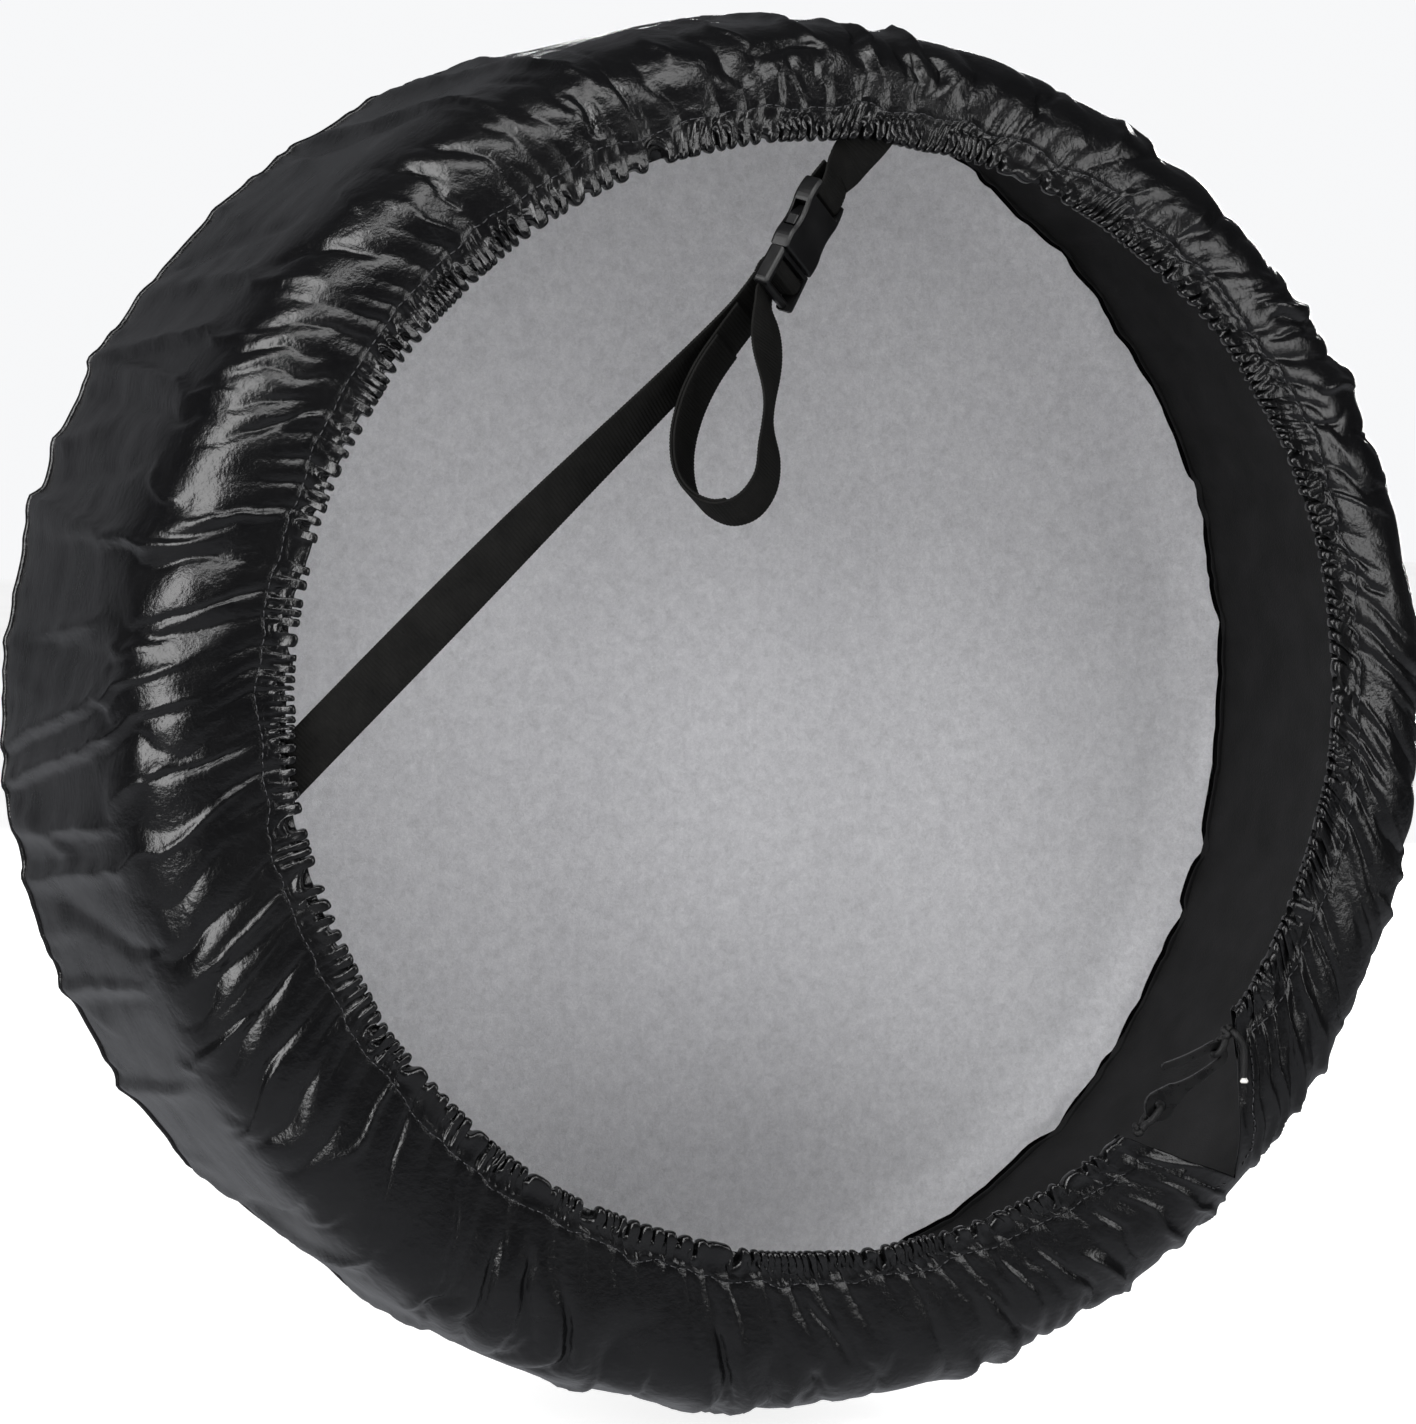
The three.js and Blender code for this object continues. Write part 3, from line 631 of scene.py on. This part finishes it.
Q, LINE, TIP, SIDE_ROWS, TREAD_ROWS = sheet_rows()
FINE = 1536  # columns round the cover
U = np.linspace(0, 1, FINE + 1)
HEIGHT = wander(wall_height(U, Q), U, Q)
HOLLOW, RIDGE = -3.0, 5.0  # heights past these are pressed flatter
HEIGHT = np.maximum(HEIGHT, HOLLOW + 0.25 * np.minimum(HEIGHT - HOLLOW, 0))
HEIGHT = np.minimum(HEIGHT, RIDGE + 0.4 * np.maximum(HEIGHT - RIDGE, 0))
WALL = place_rows(LINE, Q, U, HEIGHT)


def turned_edge(row, after, radius, width, end):
    """Points that roll the sheet's edge inwards at one end of a row and lead back under it."""
    here, beside = (row[0], row[1]) if end == 0 else (row[-1], row[-2])
    outward = here - beside
    outward /= np.linalg.norm(outward) or 1.0
    up = np.cross(after - here, outward)
    up /= np.linalg.norm(up) or 1.0
    if up[1] > 0:
        up = -up
    bend = [here + radius * (math.sin(a) * outward - (1 - math.cos(a)) * up)
            for a in np.radians((45, 90, 135, 180))]
    back = [here - 2 * radius * up - outward * width * k for k in (0.33, 0.66, 1.0)]
    return bend + back


def sheet_mesh(blocks, edges):
    """Points and faces of stacked grids; a grid may have half the columns of the one before.
    edges is (block, rows, radius, width): how many of a block's rows have rolled ends, and how."""
    points, faces = [], []
    last = None
    for block in blocks:
        rows, columns = block.shape[:2]
        start = sum(len(p) for p in points)
        if last is not None and columns < last[1]:
            fine = last[0] + np.arange(last[1])
            coarse = start + np.arange(columns)
            a, b, c = fine[:-2:2], fine[1:-1:2], fine[2::2]
            d, e = coarse[:-1], coarse[1:]
            faces += np.stack([a, b, d], 1).tolist() + np.stack([b, e, d], 1).tolist()
            faces += np.stack([b, c, e], 1).tolist()
        points.append(block.reshape(-1, 3))
        faces += grid_faces(rows, columns, start).tolist()
        last = (start + (rows - 1) * columns, columns)
    block, count, radius, width = edges
    for end in (0, -1):
        edge = block[:, end]
        after = np.concatenate([edge[1:], [2 * edge[-1] - edge[-2]]])
        strip = []
        for k in range(count):
            share = float(ease(count - 1 - k, 0, 5)) if count < len(block) else 1.0
            rolled = turned_edge(block[k], after[k], radius * share, width * share, end)
            strip.append([edge[k]] + rolled)
        strip = np.array(strip)
        start = sum(len(p) for p in points)
        points.append(strip.reshape(-1, 3))
        rolled_faces = grid_faces(*strip.shape[:2], start)
        faces += (rolled_faces[:, ::-1] if end == 0 else rolled_faces).tolist()
    return np.concatenate(points), faces


def build_wall():
    """The wall: fine over the flange and the shoulder, with half the columns on the tread."""
    side = WALL[: SIDE_ROWS + 1]
    tread = WALL[TREAD_ROWS[1:]][:, ::2]
    points, faces = sheet_mesh([side, tread], (side, TIP + 1, NOTCH_ROLL, NOTCH_HEM))
    obj = make_object("side_wall", points, faces, VINYL)
    weld(obj, 0.002)
    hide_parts("side_band", "back_flange", "notch_facing_upper", "notch_facing_lower")
    return obj


def lowest_near(height, rows, columns):
    """Each value's lowest neighbour, so that a coarser layer stays below every hollow."""
    low = height.copy()
    for k in range(-rows, rows + 1):
        shifted = np.roll(height, k, axis=0)
        low = np.minimum(low, shifted)
    wide = low.copy()
    for k in range(-columns, columns + 1):
        wide = np.minimum(wide, np.roll(low, k, axis=1))
    return wide


def build_backing():
    """The knitted back of the synthetic leather, seen inside the cover."""
    rows = np.unique(np.concatenate([np.arange(2, SIDE_ROWS, 3), TREAD_ROWS[::2], [TIP], [len(Q) - 1]]))
    low = lowest_near(HEIGHT, 3, 4)
    u = np.linspace(0, 1, FINE // 4 + 1)
    height = np.maximum(low[rows][:, ::4] - 1.0, -4.2)
    height[:, -1] = height[:, 0] = np.minimum(height[:, 0], height[:, -1])
    points = place_rows(LINE[rows], Q[rows], u, height)
    obj = make_object("wall_backing", points.reshape(-1, 3), grid_faces(*points.shape[:2]), BACKING)
    weld(obj, 0.002)
    return obj


def build_hem():
    """The gathered casing: from the stitches to the hem's edge and back behind the elastic."""
    w, line = resample(HEM_LINE, HEM_STEP)
    edge = w[np.argmin(line[:, 0])]
    keep = [k for k in range(len(w)) if w[k] < edge + 5 or k % 4 == 0 or k == len(w) - 1]
    w, line = w[keep], line[keep]
    u = np.linspace(0, 1, 3 * FINE + 1)
    q = -np.minimum(w, 2 * edge - w)
    base = wall_height(u, q)
    uu, qq = np.meshgrid(u, q)
    phase = TAU * ruffle_phase(uu, qq)
    size = ruffle_size(uu, qq)
    ww = np.broadcast_to(w[:, None], uu.shape)
    fold = np.sin(phase)
    front = np.clip((ww - 1.5) / 11.5, 0, 1) * ease(ww, edge + 4.0, edge - 0.5)
    reach = (2.9 + 2.7 * ring_noise(uu, 150, 24)) * near_notch(uu)
    slide = -0.7 * size * np.sin(2 * phase + 0.8 * ring_noise(uu, 97, 25)) * (0.3 + 0.7 * front)
    inward = (reach * (1 - fold) - 1.0) * front - 1.0 * ring_noise(uu, 64, 26) * ease(-qq, 7, 17)
    depth = -base - 0.95 * size * fold * (0.45 + 0.55 * front) - 1.2 * front**3
    points = place_rows(line, w, u, np.zeros_like(uu), slide, (inward, depth))
    first = WALL[0]  # the casing starts on the wall's own points
    points[0, ::3] = first
    points[0, 1::3] = (2 * first[:-1] + first[1:]) / 3
    points[0, 2::3] = (first[:-1] + 2 * first[1:]) / 3
    grid, faces = sheet_mesh([points], (points, len(points), 0.5, 2.0))
    obj = make_object("hem_gather", grid, [f[::-1] for f in faces], VINYL)
    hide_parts("hem_casing")
    return obj, points, w


def tube(name, path, radius, sides, material, slot, closed=False, body="cover"):
    """A round tube along a path of points in mm. radius is a number or one for each point."""
    path = np.asarray(path, float)
    along = directions(path)
    if closed:
        along = np.roll(path, -1, axis=0) - np.roll(path, 1, axis=0)
        along /= np.linalg.norm(along, axis=1)[:, None]
    across = np.cross(along[0], (0.31, 0.55, 0.77))
    rings = []
    radii = np.broadcast_to(radius, len(path))
    for centre, forward, wide in zip(path, along, radii):
        across = across - forward * (across @ forward)
        across /= np.linalg.norm(across)
        up = np.cross(forward, across)
        angle = np.arange(sides) * TAU / sides
        rings.append(centre + wide * (np.outer(np.cos(angle), across) + np.outer(np.sin(angle), up)))
    rings = np.array(rings)
    rows = np.concatenate([rings, rings[:1]]) if closed else rings
    rows = np.concatenate([rows, rows[:, :1]], axis=1)
    faces = grid_faces(*rows.shape[:2]).tolist()
    points = rows.reshape(-1, 3)
    if not closed:
        count = sides + 1
        last = (len(rings) - 1) * count
        faces += [list(range(sides))[::-1], list(range(last, last + sides))]
    obj = make_object(name, points, faces, material, body)
    weld(obj, 0.001)
    return obj


# ---------------------------------- building the cover

wall = build_wall()
backing = build_backing()
hem, hem_points, hem_w = build_hem()


def seam_angle(u):
    """The angle round the tyre's axis past the notch, where u runs evenly."""
    return notch_angles(LINE[-1, 0])[0] + u * TAU


def build_welt():
    """The piping in the face seam with its seam allowances, waving with the wall's edge."""
    rise = HEIGHT[-1, ::2][:-1]
    u = np.linspace(0, 1, len(rise), endpoint=False)
    angle = seam_angle(u)
    radius = SEAM_RADIUS + SEAM_SHARE * rise
    depth = SEAM_Y + 0.5 * ring_noise(u, 70, 51) + 0.2 * ring_noise(u, 190, 52)
    neck = 0.42  # half of the angle where the piping opens into its allowances
    arc = np.linspace(-0.75 * math.pi + neck, 1.25 * math.pi - neck, 11)
    section = [(PIPING_RADIUS * math.cos(a), PIPING_RADIUS * math.sin(a)) for a in arc]
    section += [(-4.6, -4.0), (-4.0, -4.6)]
    rows = []
    for dr, dy in section:
        r = radius + dr
        rows.append(np.stack([r * np.cos(angle), depth + dy, r * np.sin(angle)], axis=1))
    rows = np.array(rows + rows[:1])
    rows = np.concatenate([rows, rows[:, :1]], axis=1)
    obj = make_object("edge_welt", rows.reshape(-1, 3), grid_faces(*rows.shape[:2]), VINYL)
    obj.data.materials.append(BACKING)
    columns = rows.shape[1] - 1
    legs = np.arange(len(obj.data.polygons)) // columns >= len(arc) - 1
    obj.data.polygons.foreach_set("material_index", legs.astype(int))
    weld(obj, 0.001)
    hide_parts("edge_piping", "piping_cord")
    return obj


def build_disc(name, material, rim, depth, seeds, puckers):
    """A round sheet across the tyre: nearly flat, falling to its seam and puckered beside it."""
    radii = np.concatenate([[0.5], np.linspace(12, 250, 16), np.linspace(258, 320, 14),
                            np.linspace(324, rim, 9)])
    columns = 512
    u = np.linspace(0, 1, columns + 1)
    angle = seam_angle(u)
    edge = SEAM_SHARE * np.interp(u, U, HEIGHT[-1])
    rows = []
    for r in radii:
        near = float(ease(r, rim - 60, rim))
        fall = 4.2 * float(ease(r, 300, 343)) ** 1.5
        wave = 0.9 * round_noise(u, r / rim, 9, 5, seeds) * ease(r, 10, 60)
        wave = wave + puckers * near**2 * ring_noise(u, 84, seeds + 1)
        wave = wave + 0.5 * near * round_noise(u, r / rim, 40, 12, seeds + 2)
        wave = wave * float(ease(r, rim, rim - 9))
        radius = r + edge * near**3
        rows.append(np.stack([radius * np.cos(angle), depth - fall + wave, radius * np.sin(angle)], axis=1))
    rows = np.array(rows)
    points = np.concatenate([rows.reshape(-1, 3), [[0, rows[0, :, 1].mean(), 0]]])
    hub = len(points) - 1
    faces = grid_faces(*rows.shape[:2]).tolist() + [[hub, k + 1, k] for k in range(columns)]
    obj = make_object(name, points, faces, material)
    weld(obj, 0.001)
    return obj


build_welt()
face = build_disc("face_sheet", VINYL, FACE_RIM, FACE_Y - 0.6, 61, 1.1)
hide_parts("face_panel")
lining = build_disc("face_lining", FELT, LINING_RIM, FACE_Y - 2.6, 61, 0.9)
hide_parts("face_backing")


def stitches(name, path, normals, pitch, length, radius=0.32, replaced=()):
    """Short runs of thread along a path, each with its ends sunk into the sheet."""
    path, normals = np.asarray(path, float), np.asarray(normals, float)
    gone = path_length(path)
    lift = np.array([-0.35, 0.15, 0.28, 0.15, -0.35])[:, None]
    points, faces = [], []
    sides, rings = 5, len(lift)
    for k in range(int(gone[-1] / pitch)):
        at = k * pitch + np.linspace(0, length, rings)
        run = np.stack([np.interp(at, gone, path[:, j]) for j in range(3)], axis=1)
        up = np.stack([np.interp(at, gone, normals[:, j]) for j in range(3)], axis=1)
        up /= np.linalg.norm(up, axis=1)[:, None]
        along = run[-1] - run[0]
        along /= np.linalg.norm(along)
        across = np.cross(along, up)
        run = run + up * lift
        start = len(points)
        for centre, n, side in zip(run, up, across):
            for j in range(sides):
                a = TAU * j / sides
                points.append(centre + radius * (math.cos(a) * side + math.sin(a) * n))
        for r in range(rings - 1):
            for j in range(sides):
                a, b = start + r * sides + j, start + r * sides + (j + 1) % sides
                faces.append([a, b, b + sides, a + sides])
        faces.append([start + j for j in range(sides)][::-1])
        faces.append([start + (rings - 1) * sides + j for j in range(sides)])
    obj = make_object(name, points, faces, THREAD)
    if replaced:
        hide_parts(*replaced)


def wall_normals(points):
    """Outward normals of a grid of points on the wall."""
    down = np.gradient(points, axis=0)
    along = np.gradient(points, axis=1)
    normal = np.cross(down, along)
    normal /= np.linalg.norm(normal, axis=2)[:, :, None] + 1e-9
    flip = np.where(normal[:, :, 1:2] > 0, -1, 1)
    return normal * flip


SKIN_NORMALS = wall_normals(WALL[:TIP + 2])
SEWN = slice(12, -12)  # the casing's stitches stop short of the notch
stitches("casing_stitches", WALL[0, SEWN], SKIN_NORMALS[1, SEWN], 4.6, 3.5,
         replaced=("casing_stitching",))


def notch_stitches(name, side):
    """A line of stitches beside one edge of the notch, through its turned edge."""
    path, normals = [], []
    for k in range(1, TIP - 1):
        row = WALL[k] if side == 0 else WALL[k, ::-1]
        inset = (NOTCH_HEM - 1.0) * float(ease(TIP - k, 0, 7))
        column = int(np.searchsorted(path_length(row[:40]), inset))
        path.append(row[column])
        normals.append(SKIN_NORMALS[k, column if side == 0 else -1 - column])
    stitches(name, path, normals, 4.2, 3.2)


notch_stitches("notch_stitches_upper", 0)
notch_stitches("notch_stitches_lower", 1)

# ---------------------------------- webbing


def ribbon(name, path, side, body, width=WEBBING_WIDTH, replaced=()):
    """Webbing along a path, with cross ribs and rounded edges. side(t) is across it."""
    centre = np.asarray(path, float)
    along = directions(centre)
    half, thin = width / 2, WEBBING / 2
    across_at = np.array([-1, -0.985, -0.94, -0.5, 0, 0.5, 0.94, 0.985, 1]) * half
    thick = np.array([0.35, 0.8, 1, 1, 1, 1, 1, 0.8, 0.35]) * thin
    rib = RIB_HEIGHT * np.cos(TAU * path_length(centre) / RIB)
    rows = []
    for k, (c, forward) in enumerate(zip(centre, along)):
        s = np.asarray(side(k / (len(centre) - 1)), float)
        s = s - forward * (s @ forward)
        s /= np.linalg.norm(s)
        up = np.cross(forward, s)
        selvedge = 1 - 0.25 * (np.abs(across_at) > 0.9 * half)
        top = c + np.outer(across_at, s) + np.outer(thick + rib[k] * selvedge, up)
        under = c + np.outer(across_at, s) - np.outer(thick - rib[k] * selvedge, up)
        rows.append(np.concatenate([top, under[::-1], top[:1]]))
    rows = np.array(rows)
    columns = rows.shape[1]
    faces = grid_faces(*rows.shape[:2]).tolist()
    last = (len(rows) - 1) * columns
    faces += [list(range(columns - 1))[::-1], list(range(last, last + columns - 1))]
    obj = make_object(name, rows.reshape(-1, 3), faces, WEBBING_LOOK, body)
    weld(obj, 0.001)
    if replaced:
        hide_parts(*replaced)
    return obj


def flat_across(along):
    """Across a strap that lies flat on the wall's flange."""
    return Vector((-along.z, 0, along.x)).normalized()


def turn(first, second, start, stop):
    """The webbing's across direction, twisting from first to second between two shares of it."""
    return lambda t: first.lerp(second, float(ease(t, start, stop)))


def webbing_path(points):
    """A strap's path with four points to a rib."""
    rough = catmull(points, 80)
    length = np.linalg.norm(np.diff(rough, axis=0), axis=1).sum()
    return catmull(points, int(length / (RIB / 4)) + 1)


# where each strap is sewn to the wall's flange, and its direction from the buckle outwards
LONG_RUN = Vector((-0.716, 0, -0.698))
LONG_ANCHOR = Vector((-258, STRAP_Y, -7.5))
SHORT_RUN = Vector((0.62, 0, 0.784))
SHORT_ANCHOR = Vector((26.4, STRAP_Y, 286.6))

LONG_POINTS = [
    on_buckle(15.4, -7.2), on_buckle(24, -8.8), on_buckle(36, -12),
    at_depth(LONG_ANCHOR - LONG_RUN * 150, -138.5), at_depth(LONG_ANCHOR - LONG_RUN * 60, -135.2),
    LONG_ANCHOR, LONG_ANCHOR + LONG_RUN * 28,
]
SHORT_POINTS = [
    SHORT_ANCHOR + SHORT_RUN * 20, SHORT_ANCHOR,
    at_depth(SHORT_ANCHOR - SHORT_RUN * 12, STRAP_Y + 1), on_buckle(-50, 1.6),
    on_buckle(-43.5, 3.1), on_buckle(-38, 3.5), on_buckle(-34.3, 3.0), on_buckle(-33.2, 0),
    on_buckle(-34.3, -3.0), on_buckle(-38, -3.5), on_buckle(-43.5, -2.6), on_buckle(-50, -0.9),
]
WRAP_POINTS = [on_buckle(x, z) for x, z in (
    (14.8, -7.2), (9.5, -7.2), (5.6, -5), (4.9, 0), (6, 3.1), (9, 3.7), (11.8, 2.6), (12.6, -1),
    (13.2, -3.6), (14.6, -5.2))]
TAIL_POINTS = [on_buckle(x, z) for x, z in (
    (18.2, -4.8), (22.4, -3.6), (30, 1.5), (45, 10), (75, 27), (96, 39), (113, 45), (126, 42),
    (133, 32), (132, 17), (124, 4), (108, -7), (88, -13), (68, -14), (50, -11.4), (33, -8))]


def tail_side(t):
    """Across the hanging tail, which twists a little to and fro below the buckle."""
    twist = 0.27 * math.sin(TAU * (t - 0.04) / 0.30) * float(ease(t, 0.42, 0.26))
    return BUCKLE_SIDE + BUCKLE_FACE * twist


def tail_lining():
    """The tail's end, folded back and sewn down along the inside of the loop."""
    path = webbing_path(TAIL_POINTS)
    middle = np.array(on_buckle(88, 16))
    inward = np.cross(directions(path), np.array(BUCKLE_SIDE))
    inward *= np.sign(np.sum(inward * (middle - path), axis=1))[:, None]
    first, last = int(0.49 * len(path)), int(0.93 * len(path))
    shifted = (path + inward * (WEBBING + 0.12))[first:last]
    ribbon("webbing_tail_end", shifted, lambda t: BUCKLE_SIDE, "tail", width=WEBBING_WIDTH - 0.6)


strap_long = ribbon("webbing_long", webbing_path(LONG_POINTS),
                    turn(BUCKLE_SIDE, flat_across(LONG_RUN), 0.05, 0.8), None, replaced=("strap_long",))
ribbon("webbing_short", webbing_path(SHORT_POINTS),
       turn(-flat_across(SHORT_RUN), BUCKLE_SIDE, 0.16, 0.60), "cover", replaced=("strap_short",))
ribbon("webbing_wrap", webbing_path(WRAP_POINTS), lambda t: BUCKLE_SIDE, "plug",
       replaced=("strap_wrap",))
ribbon("webbing_tail", webbing_path(TAIL_POINTS), tail_side, "tail", replaced=("strap_tail",))
tail_lining()
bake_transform(strap_long)


def box_tack(name, at, run, replaced):
    """A stitched rectangle with a cross, through the end of a strap."""
    across = flat_across(run)
    corners = [(-7, -9), (7, -9), (7, 9), (-7, 9), (-7, -9), (7, 9), (7, -9), (-7, 9)]
    path = [at + run * (12 + x) + across * y + Vector((0, WEBBING / 2 + 0.25, 0)) for x, y in corners]
    dense = np.concatenate([np.linspace(a, b, 12) for a, b in zip(np.array(path), np.array(path[1:]))])
    stitches(name, dense, np.tile((0.0, 1.0, 0.0), (len(dense), 1)), 2.6, 2.0, 0.28,
             replaced=(replaced,))


box_tack("strap_stitches_left", LONG_ANCHOR, LONG_RUN, "strap_tack_left")
box_tack("strap_stitches_top", SHORT_ANCHOR, SHORT_RUN, "strap_tack_top")

# ---------------------------------- elastic cord


def hook_loop(knot, hole):
    """The cord's loop from its knot, over the hook's front, through the hole and back."""
    middle = at_depth(knot, HOOK_EYE.y)
    away = (hole - middle).normalized()
    reach = (hole - middle).length
    rise, half, start = 3.85, 2.3, 4.1
    front = [(0.5, half * 0.6), (start, half), (start + 1.6, rise), (reach - 1.6, rise),
             (reach, rise * 0.45)]
    stops = front + [(d, -out) for d, out in front[::-1]]
    return catmull([middle + away * d + Vector((0, -out, 0)) for d, out in stops], 70)


def cord(name, path, replaced, radius=ELASTIC_RADIUS, sides=10, **how):
    """A tube of elastic cord in place of a CAD node."""
    obj = tube(name, path, radius, sides, CORD_LOOK, "elastic_cover", **how)
    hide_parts(replaced)
    return obj


def knot(name, at, tilt, replaced):
    """A tight overhand knot."""
    tilted = Matrix.Rotation(tilt, 3, "Y") @ Matrix.Rotation(0.9, 3, "X")
    path = []
    for t in np.linspace(0, TAU, 72, endpoint=False):
        x, y = math.sin(t) + 2 * math.sin(2 * t), math.cos(t) - 2 * math.cos(2 * t)
        loose = Vector((x, y, -1.3 * math.sin(3 * t)))
        path.append(at + tilted @ (loose * 0.82))
    cord(name, path, replaced, 1.75, 8, closed=True)


tie = cord("hook_tie_cord", hook_loop(KNOT_LOWER, HOOK_EYE), "hook_tie", body=None)
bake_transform(tie)
cord("hook_loop_cord", hook_loop(KNOT_UPPER, HOOK_BEND), "elastic_loop")
knot("hook_tie_knot", KNOT_LOWER, 0.4, "hook_knot")
knot("hook_loop_knot", KNOT_UPPER, 1.7, "loop_knot")
free_end = catmull([(222.6, -142.6, -159.6), (224.2, -145.4, -161.8), (227.2, -146.2, -167),
                    (227.9, -146.3, -175), (227.7, -146.3, -183)], 40)
cord("elastic_free_end", free_end, "elastic_end")


def rubber_end():
    """The cord's cut end, where its pale rubber strands spread."""
    path = catmull([(227.7, -146.3, -181.6), (227.7, -146.4, -183.4), (227.5, -146.9, -185.6)], 12)
    share = np.linspace(0, 1, len(path))
    spread = 1.35 + 0.75 * ease(share, 0.3, 0.8) - 0.5 * ease(share, 0.8, 1.0)
    obj = tube("elastic_rubber_end", path, spread, 16, RUBBER, "elastic_rubber")
    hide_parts("elastic_core")


rubber_end()


def build_hem_cord():
    """The elastic inside the casing, following its ruffles."""
    front, back = (hem_points[np.argmin(np.abs(hem_w - w))] for w in (13.5, 27.0))
    path = ((front + back) / 2)[9:-9:4]
    cord("hem_cord", path, "hem_elastic", 1.6, 6)


build_hem_cord()

# ---------------------------------- moulded pieces from the CAD


def dress(node, material, width=0.35):
    """A CAD node keeps its shape and gets softened edges and a real material."""
    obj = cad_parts[node]
    for slot in obj.material_slots:
        slot.material = material
    bevel = obj.modifiers.new("edges", "BEVEL")
    bevel.width = width * MM
    bevel.segments = 2
    bevel.limit_method = "ANGLE"
    bevel.angle_limit = math.radians(38)
    bevel.harden_normals = True


for name in ("buckle_socket", "buckle_plug", "buckle_arm_left", "buckle_arm_right"):
    dress(name, BUCKLE_LOOK)
dress("gap_hook", HOOK_LOOK, 0.5)

# ---------------------------------- floor, lights and camera, in metres

CAMERA_AT = (-0.93801, -2.57110, 0.16246)
CAMERA_AZIMUTH, CAMERA_ELEVATION = math.radians(-19.90), math.radians(3.43)
LENS, SENSOR = 135.54, 36.0  # mm
FLOOR_GAP = 0.004  # below the CAD, for the folds that hang past it


def build_floor():
    """A pale floor, lit from itself so that it stays even behind the cover."""
    low = cad_box[0][2] - FLOOR_GAP
    mesh = bpy.data.meshes.new("floor")
    half = 12.0
    mesh.from_pydata([(-half, -half, low), (half, -half, low), (half, half, low), (-half, half, low)],
                     [], [(0, 1, 2, 3)])
    n = Nodes("floor_look")
    tone = n.ramp(n.noise(3.0, 3.0), [(0.3, (0.60, 0.60, 0.60)), (0.7, (0.64, 0.64, 0.64))])
    n.link(tone, n.shader.inputs["Emission Color"])
    mesh.materials.append(n.finish(tone, None, n.bump(n.noise(200.0, 3.0), 0.0003, 0.2), Roughness=0.7,
                                   Emission_Strength=1.35))
    floor = bpy.data.objects.new("floor", mesh)
    floor.visible_glossy = False
    bpy.context.scene.collection.objects.link(floor)


def area_light(name, at, width, height, power):
    """A soft rectangular light that points at the cover's centre."""
    data = bpy.data.lights.new(name, "AREA")
    data.shape = "RECTANGLE"
    data.size, data.size_y, data.energy = width, height, power
    light = bpy.data.objects.new(name, data)
    light.location = at
    light.rotation_euler = (-Vector(at)).to_track_quat("-Z", "Y").to_euler()
    bpy.context.scene.collection.objects.link(light)


def build_camera():
    """The photograph's camera, fitted to the tyre's two bead circles."""
    data = bpy.data.cameras.new("camera")
    data.sensor_fit = "HORIZONTAL"
    data.sensor_width = SENSOR
    data.lens = LENS
    data.clip_start = 0.05
    camera = bpy.data.objects.new("camera", data)
    level = math.cos(CAMERA_ELEVATION)
    back = Vector((math.sin(CAMERA_AZIMUTH) * level, -math.cos(CAMERA_AZIMUTH) * level,
                   math.sin(CAMERA_ELEVATION)))
    camera.location = CAMERA_AT
    camera.rotation_euler = (-back).to_track_quat("-Z", "Y").to_euler()
    bpy.context.scene.collection.objects.link(camera)
    bpy.context.scene.camera = camera


def build_world():
    """White to the camera; as light, dim at the horizon and brighter from below and behind."""
    world = bpy.data.worlds.new("studio")
    world.use_nodes = True
    tree = world.node_tree
    seen = tree.nodes["Background"]
    seen.inputs["Color"].default_value = (0.93, 0.935, 0.945, 1)
    light = tree.nodes.new("ShaderNodeBackground")
    light.inputs["Color"].default_value = (0.92, 0.94, 1.0, 1)
    place = tree.nodes.new("ShaderNodeTexCoord")
    axes = tree.nodes.new("ShaderNodeSeparateXYZ")
    share = tree.nodes.new("ShaderNodeMapRange")
    share.inputs["From Min"].default_value = -1.0
    rise = tree.nodes.new("ShaderNodeValToRGB")
    stops = [(0.15, 0.46), (0.30, 0.30), (0.43, 0.035), (0.65, 0.03), (0.90, 0.08)]
    while len(rise.color_ramp.elements) < len(stops):
        rise.color_ramp.elements.new(0.5)
    for element, (at, level) in zip(rise.color_ramp.elements, stops):
        element.position = at
        element.color = (level, level, level, 1.0)
    back = tree.nodes.new("ShaderNodeMapRange")
    for key, number in zip(("From Min", "From Max", "To Min", "To Max"), (0.55, 1.0, 0.0, 0.11)):
        back.inputs[key].default_value = number
    total = tree.nodes.new("ShaderNodeMath")
    path = tree.nodes.new("ShaderNodeLightPath")
    mix = tree.nodes.new("ShaderNodeMixShader")
    for source, target in (
        (place.outputs["Generated"], axes.inputs["Vector"]),
        (axes.outputs["Z"], share.inputs["Value"]),
        (share.outputs["Result"], rise.inputs["Fac"]),
        (axes.outputs["Y"], back.inputs["Value"]),
        (rise.outputs["Color"], total.inputs[0]),
        (back.outputs["Result"], total.inputs[1]),
        (total.outputs["Value"], light.inputs["Strength"]),
        (path.outputs["Is Camera Ray"], mix.inputs["Fac"]),
        (light.outputs["Background"], mix.inputs[1]),
        (seen.outputs["Background"], mix.inputs[2]),
        (mix.outputs["Shader"], tree.nodes["World Output"].inputs["Surface"]),
    ):
        tree.links.new(source, target)
    bpy.context.scene.world = world


build_floor()
build_world()
area_light("key", (-2.5, -1.5, 0.9), 1.7, 2.7, 128)
area_light("top", (-0.4, -2.3, 2.5), 2.4, 1.4, 56)
area_light("fill", (2.4, -2.4, 0.6), 1.3, 2.0, 37)
area_light("back", (1.6, 3.0, 0.3), 1.5, 1.1, 80)
build_camera()
bpy.context.scene.view_settings.view_transform = "Standard"
